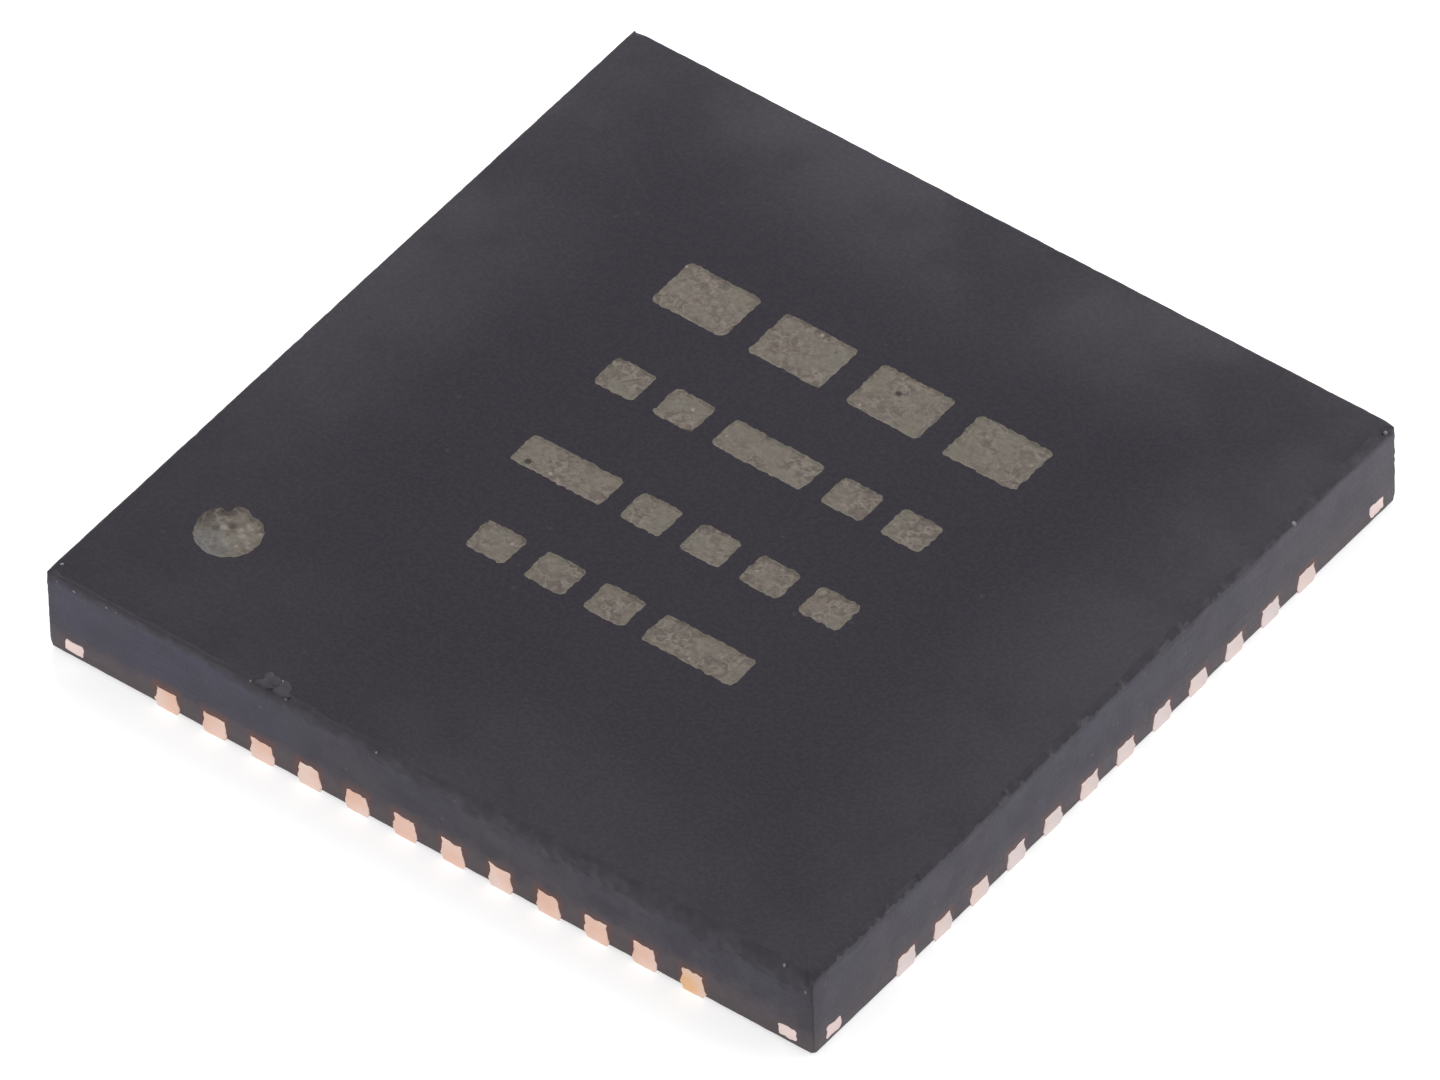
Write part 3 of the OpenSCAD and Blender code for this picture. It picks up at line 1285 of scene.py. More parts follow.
SKIN_FINISHES: dict[Skin, Finish] = {
    Skin.TOP: MOULDED_TOP,
    Skin.SAWN: SAWN_SIDE,
    Skin.CHIPPED: CHIPPED_EDGE,
    Skin.UNDERSIDE: TAPED_UNDERSIDE,
    Skin.ENGRAVED: ENGRAVED_MARK,
}


@dataclass(frozen=True)
class EngravedRow:
    """One row of plain engraved blocks."""

    middle_y: float
    widths: tuple[float, ...]
    height: float
    gap: float
    corner: float = 0.05

    def outlines(self, step: float) -> list[list[Point]]:
        """Places the row's blocks, centred on the body.

        Args:
            step: the distance between points, about.

        Returns:
            Each block's outline.
        """
        left = -(sum(self.widths) + self.gap * (len(self.widths) - 1)) / 2
        blocks = []
        for width in self.widths:
            middle = (left + width / 2, self.middle_y)
            blocks.append(rounded_rectangle(middle, (width, self.height), self.corner, step))
            left += width + self.gap
        return blocks


@dataclass(frozen=True)
class Chip:
    """A bite out of a top edge, measured from the side's first corner."""

    along: float
    width: float
    depth: float
    peak: float = 0.5
    bluntness: float = 2.0

    def share(self, along: float) -> float:
        """Works out how deep the bite is at one place.

        Args:
            along: the place along the side.

        Returns:
            The depth there, as a share of the bite's full depth.
        """
        place = (along - self.along) / self.width + MIDDLE
        if not 0.0 < place < 1.0:
            return 0.0
        half = self.peak if place < self.peak else 1.0 - self.peak
        return 1.0 - (abs(place - self.peak) / half) ** self.bluntness


@dataclass(frozen=True)
class EdgeWear:
    """How one sawn edge is worn and broken, in millimetres.

    Each roll is how far the worn edge reaches in across the top and down the side. The sharper a bite is,
    the less of the roll it keeps.
    """

    roll: Point
    end_roll: Point
    spacing: float
    widths: Point
    depths: Point
    bluntness: float
    drop: float
    sharp: float
    rough: float
    wave: float
    bulge: float
    corner_depth: float
    placed: tuple[Chip, ...] = ()
    depth_spread: Point = (0.7, 1.3)
    peaks: Point = (0.2, 0.8)
    spacing_spread: Point = (0.4, 1.6)

    def chips(self, side_length: float, seed: int) -> list[Chip]:
        """Scatters small bites along the edge, more of them small than large.

        Args:
            side_length: the edge's length.
            seed: picks the pattern.

        Returns:
            The bites with a set place, then the scattered ones.
        """
        chance = random.Random(seed)
        bites = list(self.placed)
        along = chance.uniform(0.0, self.spacing)
        while along < side_length:
            size = chance.random() ** 2
            width = self.widths[0] + (self.widths[1] - self.widths[0]) * size
            depth = self.depths[0] + (self.depths[1] - self.depths[0]) * size
            depth *= chance.uniform(*self.depth_spread)
            bites.append(Chip(along, width, depth, chance.uniform(*self.peaks), self.bluntness))
            along += self.spacing * chance.uniform(*self.spacing_spread)
        return bites


@dataclass
class BrokenEdge:
    """One side's top edge with its bites worked out.

    A pair holds the value for the reach in across the top, then the value for the reach down the side.
    """

    wear: EdgeWear
    side_length: float
    seed: int
    corner_reach: float = 0.12
    unevenness: Point = (0.3, 1.0)
    noise_rows: Point = (1.5, 11.5)
    rough_per_mm: float = 14.0
    waves_per_mm: float = 4.5
    wave_seed_shift: float = 0.5

    def __post_init__(self) -> None:
        """Scatters the bites."""
        self.bites = self.wear.chips(self.side_length, self.seed)

    def cut(self, along: float) -> Point:
        """Works out how far the edge is worn and broken back at one place.

        Args:
            along: the place along the side.

        Returns:
            How far the break reaches in across the top, and down the side.
        """
        wear = self.wear
        shares = [bite.share(along) for bite in self.bites]
        bitten = sum(bite.depth * share for bite, share in zip(self.bites, shares))
        place = along / self.side_length
        to_corner = min(along, self.side_length - along)
        bitten += wear.corner_depth * max(0.0, 1.0 - to_corner / self.corner_reach)
        rolls_kept = (1.0 - wear.sharp * min(1.0, sum(shares)), 1.0)
        reaches = []
        for number, bite_scale in enumerate((1.0, wear.drop)):
            row = self.noise_rows[number]
            fine = noise.noise(Vector((along * self.rough_per_mm, row, self.seed)))
            broad = noise.noise(Vector((along * self.waves_per_mm, row, self.seed + self.wave_seed_shift)))
            uneven = 1.0 + self.unevenness[number] * (wear.rough * fine + wear.wave * broad)
            roll = wear.roll[number] * (1.0 - place) + wear.end_roll[number] * place
            reaches.append((roll * rolls_kept[number] + bitten * bite_scale) * uneven)
        return reaches[0], reaches[1]


@dataclass
class MouldedBody:
    """The moulded slab: matte top, sawn and chipped sides, engraved dot and rows.

    Each dot bite is a bearing and a spread in degrees, and a depth as a share of the radius. Each scallop
    is the amount, pitch and seed of the noise that makes the dot's outline ragged.
    """

    half_width: float
    base: float
    top: float
    edges: tuple[BrokenEdge, ...]
    rows: tuple[EngravedRow, ...]
    dot_middle: Point = (-3.06, -2.74)
    dot_diameter: float = 0.6
    dot_depth: float = 0.02
    dot_scallops: tuple[Place, ...] = ((0.014, 0.05, 4.0), (0.015, 0.2, 8.0))
    dot_bites: tuple[Place, ...] = ((128.0, 13.0, 0.22), (80.0, 14.0, 0.12))
    dot_pits: tuple[Point, ...] = ((-0.13, -0.01), (-0.03, 0.09))
    dot_rings: int = 12
    dot_bump: float = 0.016
    dot_bumps_per_mm: float = 10.0
    pit_radius: float = 0.05
    pit_depth: float = 0.014
    row_depth: float = 0.012
    row_wave: Point = (0.016, 0.045)
    wall_run: float = 0.028
    samples_per_side: int = 600
    side_rows: int = 18
    rounded_rows: int = 8
    top_margin: float = 0.2
    base_margin: float = 0.05
    upright_cut: float = 0.012
    upright_wobble: float = 1.1
    upright_wobbles_per_mm: float = 23.0
    upright_flare: float = 2.0
    upright_flare_height: float = 0.1
    bevel_steps: tuple[float, ...] = (0.25, 0.5, 0.75)
    broken_depth: float = 0.16
    lump_share: float = 0.25
    lumps_per_mm: float = 9.0
    foot_break: float = 0.004
    outline_step: float = 0.02

    def build(self, cutters: Sequence[Object]) -> Object:
        """Builds and dresses the slab, with pockets for the copper.

        Args:
            cutters: the copper pieces that the slab is moulded round.

        Returns:
            The slab.
        """
        shape = bmesh.new()
        rings = self._rings(shape)
        self._bands(shape, rings)
        self._top_and_marks(shape, rings[0])
        self._fill(shape, [rings[-1]], Skin.UNDERSIDE)
        bmesh.ops.recalc_face_normals(shape, faces=shape.faces)
        body = new_piece(shape, "moulded_body", [SKIN_FINISHES[skin] for skin in Skin])
        self._cut_pockets(body, cutters)
        return body

    def _point(self, side: int, share: float, inward: float, height: float) -> Vector:
        """Places a point of the slab's skin, with the upright corners cut back a little.

        Args:
            side: 0 for the -Y side, counting anticlockwise.
            share: the place along the side, from -1 to 1.
            inward: how far in from the side.
            height: the height above the soldered plane.

        Returns:
            The point, in metres.
        """
        reach = self.half_width - inward
        x = share * reach
        y = -reach
        corner = (side + (share > 0)) % SIDES
        wobble_at = (height * self.upright_wobbles_per_mm, corner * UPRIGHT_NOISE_STEP, UPRIGHT_NOISE)
        wobble = noise.noise(Vector(wobble_at))
        flare = max(0.0, 1.0 - (height - self.base) / self.upright_flare_height) ** 2
        cut = self.upright_cut * (1.0 + self.upright_wobble * wobble + self.upright_flare * flare)
        scale = min(1.0, (2 * self.half_width - cut) / (abs(x) + abs(y)))
        point = Vector((x * scale, y * scale, height)) * MM
        point.rotate(quarter_turns(side))
        return point

    def _profile(self, side: int, along: float) -> list[Point]:
        """Works out the slab's outline across one side, from the top's margin to the underside's.

        Args:
            side: 0 for the -Y side, counting anticlockwise.
            along: the place along the side.

        Returns:
            Each point's distance in from the side, and its height.
        """
        edge = self.edges[side]
        across, down = edge.cut(along)
        bulge = edge.wear.bulge
        broken = min(1.0, (across + down) / 2 / self.broken_depth)
        profile = [(self.top_margin, self.top), (across, self.top)]
        for step in self.bevel_steps:
            lump_at = (along * self.lumps_per_mm, step * self.lumps_per_mm, side * SIDE_NOISE_STEP)
            lump = noise.noise(Vector(lump_at))
            hollow = step * (1.0 - step) * (broken * (bulge + self.lump_share * lump) - bulge)
            profile.append((across * (1.0 - step + hollow), self.top - down * (step + hollow)))
        foot_bump = noise.noise(Vector((along * self.lumps_per_mm, FOOT_NOISE, side)))
        foot = self.foot_break * (1.0 + foot_bump)
        drop = self.top - down - self.base - foot
        profile += [(0.0, self.top - down - drop * row / self.side_rows) for row in range(self.side_rows)]
        return [*profile, (0.0, self.base + foot), (foot, self.base), (foot + self.base_margin, self.base)]

    def _rings(self, shape: BMesh) -> list[list[BMVert]]:
        """Makes rings of points from the top's margin, down the sides, to the underside's margin.

        Args:
            shape: the mesh that takes the points.

        Returns:
            The rings, from the top down.
        """
        count = self.samples_per_side
        columns = []
        for side in range(SIDES):
            for index in range(count):
                share = 2 * index / count - 1
                profile = self._profile(side, index / count * 2 * self.half_width)
                columns.append([shape.verts.new(self._point(side, share, *spot)) for spot in profile])
        return [list(ring) for ring in zip(*columns, strict=True)]

    def _bands(self, shape: BMesh, rings: Sequence[Sequence[BMVert]]) -> None:
        """Joins each ring to the next.

        Args:
            shape: the mesh.
            rings: the rings, from the top down.
        """
        broken = [Skin.CHIPPED] * (len(self.bevel_steps) + 1)
        sawn = [Skin.SAWN] * self.side_rows
        skins = [Skin.TOP, *broken, *sawn, Skin.CHIPPED, Skin.UNDERSIDE]
        for row, (upper, lower, skin) in enumerate(zip(rings, rings[1:], skins)):
            rounded = skin is Skin.SAWN and row < self.rounded_rows
            join_rings(shape, upper, lower, skin, smooth=rounded or skin is Skin.CHIPPED)

    @staticmethod
    def _fill(shape: BMesh, loops: Sequence[Sequence[BMVert]], skin: Skin) -> None:
        """Fills a flat outline, with any loops inside it left open.

        Args:
            shape: the mesh.
            loops: the outline's points, then those of each loop inside it, anticlockwise.
            skin: the slot that the new faces take.
        """
        verts = [vert for loop in loops for vert in loop]
        numbers = iter(range(len(verts)))
        borders = [[next(numbers) for _ in loop] for loop in loops]
        flat = [vert.co.xy / MM for vert in verts]
        filled = geometry.delaunay_2d_cdt(flat, [], borders, TRIANGLES_INSIDE, SAME_PLACE_MM)
        points, _, triangles, sources, _, borders_round = filled
        height = verts[0].co.z
        corners = [
            verts[source[0]] if source else shape.verts.new((*(point * MM), height))
            for point, source in zip(points, sources)
        ]
        for triangle, around in zip(triangles, borders_round):
            if list(around) == [0]:
                face = shape.faces.new([corners[number] for number in triangle])
                face.material_index = skin

    def _sunken_wall(
        self, shape: BMesh, outline: Sequence[Point], depth: float
    ) -> tuple[list[BMVert], list[BMVert]]:
        """Makes the sloping wall round an engraved outline.

        Args:
            shape: the mesh.
            outline: the outline in the top's plane, anticlockwise.
            depth: the engraving's depth.

        Returns:
            The wall's points in the top's plane, and at the bottom.
        """
        bottom = inset(outline, self.wall_run)
        upper = [shape.verts.new(Vector((x, y, self.top)) * MM) for x, y in outline]
        lower = [shape.verts.new(Vector((x, y, self.top - depth)) * MM) for x, y in bottom]
        join_rings(shape, upper, lower, Skin.ENGRAVED)
        return upper, lower

    def _top_and_marks(self, shape: BMesh, margin: Sequence[BMVert]) -> None:
        """Fills the top round the engraved dot and rows, and makes their floors.

        Args:
            shape: the mesh.
            margin: the ring of points round the top.
        """
        size = (self.dot_diameter, self.dot_diameter)
        circle = rounded_rectangle(self.dot_middle, size, self.dot_diameter / 2, self.outline_step)
        for scallop in self.dot_scallops:
            circle = ragged(circle, *scallop)
        dot_rim, dot_floor = self._sunken_wall(shape, self._bitten(circle), self.dot_depth)
        self._dot_floor(shape, dot_floor)
        loops = [margin, dot_rim]
        for row in self.rows:
            for outline in row.outlines(self.outline_step):
                wavy = ragged(outline, *self.row_wave, row.middle_y)
                rim, floor = self._sunken_wall(shape, wavy, self.row_depth)
                loops.append(rim)
                self._fill(shape, [floor], Skin.ENGRAVED)
        self._fill(shape, loops, Skin.TOP)

    def _bitten(self, outline: Sequence[Point]) -> list[Point]:
        """Takes the bites out of the dot's far edge where the laser missed.

        Args:
            outline: the dot's outline.

        Returns:
            The bitten outline.
        """
        middle_x, middle_y = self.dot_middle
        bitten = []
        for x, y in outline:
            turn = math.degrees(math.atan2(y - middle_y, x - middle_x))
            keep = 1.0
            for bearing, spread, depth in self.dot_bites:
                off = ((turn - bearing + 180.0) % 360.0 - 180.0) / spread
                keep -= depth * max(0.0, 1.0 - off**2)
            bitten.append((middle_x + (x - middle_x) * keep, middle_y + (y - middle_y) * keep))
        return bitten

    def _dot_floor(self, shape: BMesh, rim: Sequence[BMVert]) -> None:
        """Makes the dot's pitted floor from rings that shrink to its middle.

        Args:
            shape: the mesh.
            rim: the points at the bottom of the dot's wall.
        """
        middle = Vector((*self.dot_middle, self.top - self.dot_depth)) * MM
        pits = [middle + Vector((*pit, 0.0)) * MM for pit in self.dot_pits]
        outer = list(rim)
        for number in range(1, self.dot_rings):
            ring = []
            for vert in rim:
                point = middle.lerp(vert.co, 1.0 - number / self.dot_rings)
                sunk = 0.0
                for pit in pits:
                    away = (point - pit).xy.length / MM / self.pit_radius
                    sunk += self.pit_depth * max(0.0, 1.0 - away**2)
                point.z += (self.dot_bump * noise.noise(point / MM * self.dot_bumps_per_mm) - sunk) * MM
                ring.append(shape.verts.new(point))
            join_rings(shape, outer, ring, Skin.ENGRAVED)
            outer = ring
        centre = shape.verts.new(middle)
        for index in range(len(outer)):
            face = shape.faces.new((outer[index], outer[(index + 1) % len(outer)], centre))
            face.material_index = Skin.ENGRAVED

    @staticmethod
    def _cut_pockets(body: Object, cutters: Sequence[Object]) -> None:
        """Cuts the copper pieces' room out of the slab.

        Args:
            body: the slab.
            cutters: the copper pieces.
        """
        joined = bmesh.new()
        for cutter in cutters:
            joined.from_mesh(cutter.data)
        bmesh.ops.remove_doubles(joined, verts=joined.verts, dist=SAME_PLACE_M)
        room = new_piece(joined, "copper_room", [])
        cut = body.modifiers.new("pockets", "BOOLEAN")
        cut.operation = "DIFFERENCE"
        cut.solver = "EXACT"
        cut.object = room
        cut_body = body.evaluated_get(bpy.context.evaluated_depsgraph_get())
        cut_mesh = bpy.data.meshes.new_from_object(cut_body)
        body.modifiers.clear()
        body.data = cut_mesh
        bpy.data.objects.remove(room)


@dataclass
class LooseGrains:
    """Small lumps on the top edges, mostly sunk in them; the pale ones stand in as painted glints.

    Each place is x, y, the depth under the top and the width. The flatness is a lump's height as a share of
    its width.
    """

    name: str
    finish: Finish
    top: float
    places: tuple[tuple[float, float, float, float], ...]
    flatness: float = 1.0
    bumps_per_mm: float = 50.0
    subdivisions: int = 2
    unevenness: float = 0.5
    sunk_share: float = 0.25

    def build(self) -> Object:
        """Builds the lumps as uneven balls, flattened where they are flakes.

        Returns:
            One piece that holds them all.
        """
        shape = bmesh.new()
        for x, y, depth, width in self.places:
            ball = bmesh.ops.create_icosphere(shape, subdivisions=self.subdivisions, radius=width / 2 * MM)
            height = self.top - depth - self.sunk_share * width * self.flatness
            for vert in ball["verts"]:
                bump = noise.noise(vert.co / MM * self.bumps_per_mm + Vector((x, y, 0.0)))
                vert.co *= 1.0 + self.unevenness * bump
                vert.co.z *= self.flatness
                vert.co += Vector((x, y, height)) * MM
        for face in shape.faces:
            face.smooth = True
        return new_piece(shape, self.name, [self.finish])


# Copper


class Smear(IntEnum):
    """Material slots of the saw's smears."""

    PLAIN = 0
    PALE = 1
    WARM = 2


SMEAR_FINISHES: dict[Smear, Finish] = {
    Smear.PLAIN: ETCHED_COPPER,
    Smear.PALE: PALE_COPPER,
    Smear.WARM: WARM_COPPER,
}


@dataclass
class LeadFrame:
    """The leads and the paddle, with the smears that the saw leaves on their ends.

    Each film layer is its share of the end's size, and how far it stands proud of the sawn side.
    """

    half_width: float
    sheet: float
    lead_foot: float = 0.2
    lead_ridge: float = 0.262
    lead_ridge_z: float = 0.07
    lead_top: float = 0.192
    waist_share: float = 0.4
    far_corner_share: float = 0.3
    crown_share: Point = (0.3, 0.2)
    tie_inset: float = 0.27
    tie_width: float = 0.19
    tie_base: float = 0.085
    tie_top: float = 0.212
    tie_corner: float = 0.02
    film_layers: tuple[Point, ...] = ((1.0, -0.002), (0.97, 0.004), (0.6, 0.0052))
    film_rag: Point = (0.018, 0.045)
    film_lowest: float = 0.003
    outline_step: float = 0.02
    pulls: Point = (0.004, 0.022)
    rises: Point = (0.0, 0.024)
    drags: Point = (0.012, 0.03)
    far_lift: float = 0.038
    warm_lead: int = 12
    seed: int = 48
    seeds: Point = (0.0, 100.0)

    @staticmethod
    def pieces(nodes: dict[str, Object]) -> list[Object]:
        """Picks the copper pieces.

        Args:
            nodes: the CAD nodes by name.

        Returns:
            The leads and the paddle.
        """
        return [node for name, node in nodes.items() if name.startswith("lead_") or name == "die_paddle"]

    def dress(self, nodes: dict[str, Object]) -> None:
        """Gives the copper pieces their finish.

        Args:
            nodes: the CAD nodes by name.
        """
        for node in self.pieces(nodes):
            put_finish(node, ETCHED_COPPER)

    def lead_outline(self, pull: float, rise: float, lift: float) -> list[Point]:
        """Draws a sawn lead end: a barrel with burrs dragged out of its upper corners.

        Args:
            pull: how far the saw dragged one corner sideways; below zero to the left.
            rise: how far it dragged that corner up.
            lift: how far it dragged the whole upper edge up.

        Returns:
            The outline, anticlockwise.
        """
        foot = self.lead_foot / 2
        ridge = self.lead_ridge / 2
        top = self.lead_top / 2
        upper = self.sheet + lift
        middle_z = (self.lead_ridge_z + upper) / 2
        waist = self.waist_share * ridge + (1.0 - self.waist_share) * top
        crown_x = self.crown_share[0] * top
        crown_z = upper + self.crown_share[1] * rise
        far = (-self.far_corner_share * pull, self.far_corner_share * rise)
        left = (pull, rise) if pull < 0 else far
        right = (pull, rise) if pull > 0 else far
        return [
            (-foot, 0.0),
            (foot, 0.0),
            (ridge, self.lead_ridge_z),
            (waist, middle_z),
            (top + right[0], upper + right[1]),
            (crown_x, crown_z),
            (-crown_x, crown_z),
            (-top + left[0], upper + left[1]),
            (-waist, middle_z),
            (-ridge, self.lead_ridge_z),
        ]

    def tie_outline(self) -> list[Point]:
        """Returns a sawn tie bar end's outline."""
        middle = (0.0, (self.tie_base + self.tie_top) / 2)
        size = (self.tie_width, self.tie_top - self.tie_base)
        return rounded_rectangle(middle, size, self.tie_corner, self.outline_step)

    def build_smears(self) -> Object:
        """Builds the thin films of copper that the saw dragged over each end.

        Returns:
            One piece that holds them all.
        """
        chance = random.Random(self.seed)
        shape = bmesh.new()
        tie = self.half_width - self.tie_inset
        for side in range(SIDES):
            first_cut = side % 2 == 0
            for index in range(LEADS_PER_SIDE):
                along = (index - (LEADS_PER_SIDE - 1) / 2) * LEAD_PITCH_MM
                pull = chance.uniform(*self.pulls)
                rise = chance.uniform(*self.rises)
                drag = chance.uniform(*self.drags) + self.far_lift * index / LEADS_PER_SIDE
                outline = self.lead_outline(-pull if first_cut else pull, rise, drag if first_cut else 0.0)
                warm = side * LEADS_PER_SIDE + index + 1 == self.warm_lead
                tint = Smear.WARM if warm else Smear.PLAIN
                self._smear(shape, side, along, outline, chance.uniform(*self.seeds), tint)
            for along in (-tie, tie):
                self._smear(shape, side, along, self.tie_outline(), chance.uniform(*self.seeds), Smear.PALE)
        bmesh.ops.recalc_face_normals(shape, faces=shape.faces)
        return new_piece(shape, "sawn_end_smears", [SMEAR_FINISHES[smear] for smear in Smear])

    def _smear(
        self, shape: BMesh, side: int, along: float, outline: Sequence[Point], seed: float, tint: Smear
    ) -> None:
        """Adds one film over a sawn end.

        Args:
            shape: the mesh.
            side: 0 for the -Y side, counting anticlockwise.
            along: the end's place along the side.
            outline: the end's outline.
            seed: picks its small differences.
            tint: the slot that its faces take.
        """
        rough = ragged(even_steps(outline, self.outline_step), *self.film_rag, seed)
        middle_z = sum(z for _, z in rough) / len(rough)
        turn = quarter_turns(side)
        loops = []
        for scale, proud in self.film_layers:
            loop = []
            for x, z in rough:
                height = max(middle_z + (z - middle_z) * scale, self.film_lowest)
                point = Vector((along + x * scale, -self.half_width - proud, height)) * MM
                point.rotate(turn)
                loop.append(shape.verts.new(point))
            loops.append(loop)
        for cover in (loops[-1], list(reversed(loops[0]))):
            shape.faces.new(cover).material_index = tint
        for outer, inner in zip(loops, loops[1:]):
            join_rings(shape, outer, inner, tint)


# Inner pieces


@dataclass(frozen=True)
class DieStack:
    """The pieces sealed inside: die, adhesive and bond wires."""

    finishes: tuple[tuple[str, Finish], ...] = (
        ("silicon_die", DIE_SILICON),
        ("die_attach", SILVER_ADHESIVE),
        ("bond_wires", COPPER_WIRE),
    )

    def dress(self, nodes: dict[str, Object]) -> None:
        """Gives each inner piece its finish.

        Args:
            nodes: the CAD nodes by name.
        """
        for name, finish in self.finishes:
            put_finish(nodes[name], finish)


# Studio


@dataclass(frozen=True)
class Softbox:
    """A square soft light that faces the part."""

    name: str
    place: Place
    width: float
    radiance: float

    def build(self) -> None:
        """Makes the lamp."""
        lamp = bpy.data.lights.new(self.name, "AREA")
        lamp.size = self.width * MM
        lamp.energy = self.radiance * math.pi * lamp.size**2
        holder = bpy.data.objects.new(self.name, lamp)
        holder.location = Vector(self.place) * MM
        holder.rotation_mode = "QUATERNION"
        holder.rotation_quaternion = (-holder.location).to_track_quat("-Z", "Y")
        bpy.context.scene.collection.objects.link(holder)


@dataclass(frozen=True)
class Studio:
    """Pale floor, soft light and the photograph's camera."""

    azimuth: float = 38.767
    elevation: float = 45.124
    lean: float = 1.75
    distance: float = 239.916
    target: Place = (-0.006, -0.0344, 0.4271)
    lens: float = 720.8
    sensor_width: float = 36.0
    clip_start: float = 0.01
    clip_end: float = 10.0
    floor_width: float = 4000.0
    floor_gap: float = 0.002
    sky: float = 0.42
    softboxes: tuple[Softbox, ...] = (
        Softbox("back light", (-10.0, 13.0, 21.0), 20.0, 2.3),
        Softbox("right light", (41.0, 27.0, 26.0), 38.0, 2.25),
        Softbox("left light", (-21.0, -22.0, 14.0), 20.0, 1.25),
    )

    def build(self) -> None:
        """Makes the floor, the sky, the lights and the camera."""
        self._floor()
        self._sky()
        for softbox in self.softboxes:
            softbox.build()
        self._camera()
        bpy.context.scene.view_settings.view_transform = "Standard"

    def _floor(self) -> None:
        """Lays a wide floor just under the part."""
        half = self.floor_width / 2
        level = CAD_BOX[0].z / MM - self.floor_gap
        shape = bmesh.new()
        corners = [(-half, -half), (half, -half), (half, half), (-half, half)]
        shape.faces.new([shape.verts.new(Vector((x, y, level)) * MM) for x, y in corners])
        floor = new_piece(shape, "floor", [PALE_FLOOR])

    def _sky(self) -> None:
        """Makes the even light from all round, white where it is seen directly."""
        world = bpy.data.worlds.new("studio")
        world.use_nodes = True
        graph = Graph(world.node_tree)
        background = world.node_tree.nodes["Background"]
        strength = graph.remap(graph.seen_directly(), RISING, (self.sky, 1.0))
        graph.feed(background.inputs["Strength"], strength)
        graph.feed(background.inputs["Color"], WHITE)
        bpy.context.scene.world = world

    def _camera(self) -> None:
        """Sets the camera at the photograph's angle."""
        turn = math.radians(self.azimuth)
        rise = math.radians(self.elevation)
        back = Vector((math.sin(turn) * math.cos(rise), -math.cos(turn) * math.cos(rise), math.sin(rise)))
        data = bpy.data.cameras.new("camera")
        data.lens = self.lens
        data.sensor_width = self.sensor_width
        data.clip_start = self.clip_start
        data.clip_end = self.clip_end
        camera = bpy.data.objects.new("camera", data)
        camera.location = (Vector(self.target) + back * self.distance) * MM
        camera.rotation_mode = "QUATERNION"
        level = (-back).to_track_quat("-Z", "Y")
        camera.rotation_quaternion = level @ Quaternion(UPWARD_AXIS, -math.radians(self.lean))
        bpy.context.scene.collection.objects.link(camera)
        bpy.context.scene.camera = camera


# Assembly


ROWS = (
    EngravedRow(1.78, (0.76, 0.76, 0.76, 0.76), height=0.56, gap=0.26),
    EngravedRow(0.63, (0.42, 0.42, 0.95, 0.42, 0.42), height=0.36, gap=0.2),
    EngravedRow(-0.5, (0.95, 0.42, 0.42, 0.42, 0.42), height=0.36, gap=0.2),
    EngravedRow(-1.52, (0.42, 0.42, 0.42, 0.95), height=0.36, gap=0.2),
)
# Places of the pale grains that stand in as painted glints
GLINT_GRAIN_PLACES = (
    (-3.94, -3.86, 0.0, 0.03),
    (-3.88, -3.99, 0.05, 0.026),
    (-3.7, -3.99, 0.06, 0.036),
    (-3.36, -3.99, 0.045, 0.032),
    (-3.26, -3.99, 0.045, 0.026),
    (-1.86, -3.97, 0.032, 0.026),
    (-1.62, -3.845, 0.008, 0.042),
    (-1.495, -3.96, 0.03, 0.03),
    (-0.53, -3.985, 0.06, 0.026),
    (3.68, -3.95, 0.03, 0.032),
    (3.93, -3.985, 0.15, 0.044),
    (3.985, -3.7, 0.06, 0.03),
    (3.97, 3.9, 0.02, 0.032),
    (3.985, 2.6, 0.03, 0.046),
)
FLAKE_PLACES = (
    (-1.74, -3.88, 0.005, 0.24),
    (-1.66, -3.865, 0.001, 0.11),
    (-1.55, -3.9, 0.002, 0.19),
)
SOFT_CHIPS = (
    Chip(along=2.38, width=0.55, depth=0.03, peak=0.6),
    Chip(along=2.7, width=0.22, depth=0.03),
    Chip(along=5.15, width=0.7, depth=0.012, peak=0.4),
    Chip(along=5.8, width=0.6, depth=0.018, peak=0.3),
    Chip(along=6.4, width=0.6, depth=0.025),
    Chip(along=6.95, width=0.65, depth=0.03, peak=0.65),
    Chip(along=7.5, width=0.6, depth=0.02),
)
JAGGED_CHIPS = (
    Chip(along=5.42, width=0.1, depth=0.012, bluntness=1.2),
    Chip(along=6.62, width=0.12, depth=0.02, bluntness=1.0),
    Chip(along=6.83, width=0.08, depth=0.012, bluntness=1.2),
)
FRONT_WEAR = EdgeWear(
    roll=(0.03, 0.05),
    end_roll=(0.07, 0.12),
    spacing=0.4,
    widths=(0.2, 0.6),
    depths=(0.004, 0.016),
    bluntness=2.0,
    drop=1.6,
    sharp=0.0,
    rough=0.05,
    wave=0.35,
    bulge=1.5,
    corner_depth=0.03,
    placed=SOFT_CHIPS,
)
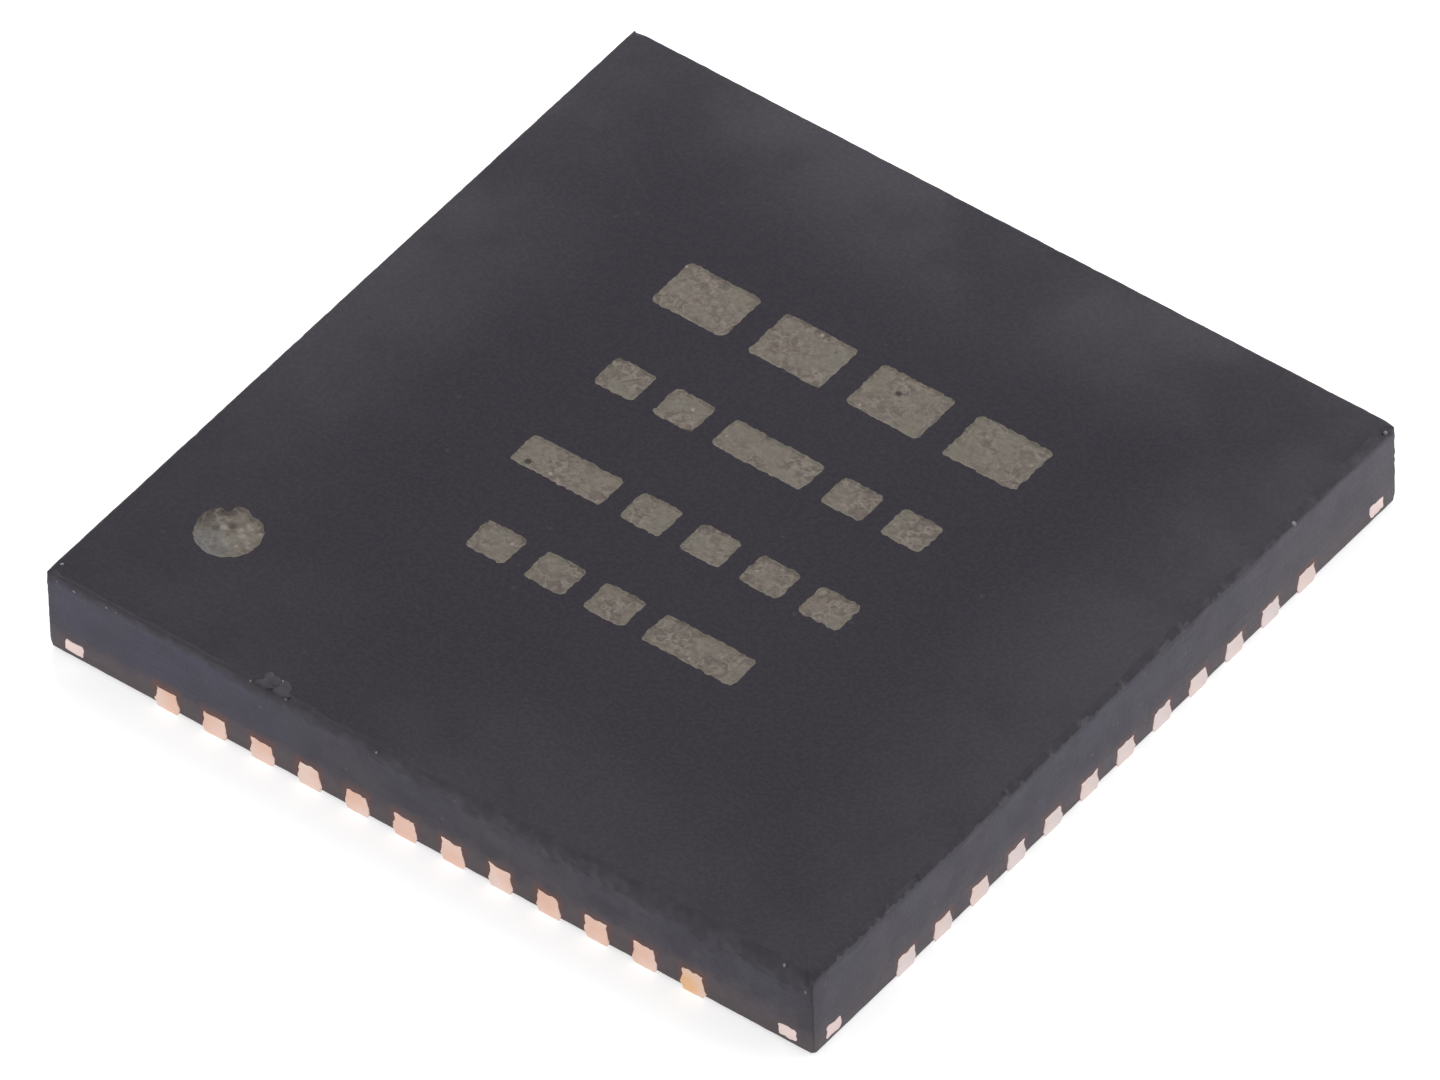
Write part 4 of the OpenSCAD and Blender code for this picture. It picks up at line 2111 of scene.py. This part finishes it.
RIGHT_WEAR = EdgeWear(
    roll=(0.06, 0.042),
    end_roll=(0.08, 0.06),
    spacing=0.9,
    widths=(0.06, 0.15),
    depths=(0.002, 0.008),
    bluntness=1.6,
    drop=0.8,
    sharp=0.4,
    rough=0.15,
    wave=0.7,
    bulge=0.1,
    corner_depth=0.02,
    placed=JAGGED_CHIPS,
)
LEFT_WEAR = EdgeWear(
    roll=(0.02, 0.01),
    end_roll=(0.02, 0.01),
    spacing=0.3,
    widths=(0.05, 0.15),
    depths=(0.002, 0.008),
    bluntness=1.5,
    drop=0.5,
    sharp=0.0,
    rough=0.3,
    wave=0.35,
    bulge=0.5,
    corner_depth=0.01,
)
BACK_WEAR = replace(LEFT_WEAR, corner_depth=0.035)
EDGES = (FRONT_WEAR, RIGHT_WEAR, BACK_WEAR, LEFT_WEAR)


def main() -> None:
    """Builds and dresses every piece, then the studio."""
    logging.basicConfig(level=logging.INFO, format="%(name)s: %(message)s")
    nodes = frame["nodes"]
    low, high = (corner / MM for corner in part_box("mould_body"))
    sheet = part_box("lead_01")[1].z / MM

    copper = LeadFrame(half_width=high.x, sheet=sheet)
    copper.dress(nodes)
    smears = copper.build_smears()
    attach(smears, BODY)
    LOG.info("copper dressed, %d faces of saw smears", len(smears.data.polygons))

    DieStack().dress(nodes)
    LOG.info("die, adhesive and wires dressed")

    edges = tuple(BrokenEdge(wear, 2 * high.x, seed) for seed, wear in enumerate(EDGES))
    body = MouldedBody(high.x, low.z, high.z, edges, ROWS).build(copper.pieces(nodes))
    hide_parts("mould_body")
    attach(body, BODY)
    LOG.info("moulded body built, %d faces", len(body.data.polygons))

    # Pale grains that stand in as painted glints on the broken edges
    glint_grains = LooseGrains("painted_glint_grains", GLINT_GRAIN, high.z, GLINT_GRAIN_PLACES)
    flake = LooseGrains(
        "broken_flake", BROKEN_FLAKE, high.z, FLAKE_PLACES, flatness=0.15, bumps_per_mm=11.0, subdivisions=3
    )
    for lumps in (glint_grains, flake):
        piece = lumps.build()
        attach(piece, BODY)
        LOG.info("%s built, %d lumps", lumps.name, len(lumps.places))

    Studio().build()
    LOG.info("studio built")


if __name__ == "__main__":
    main()
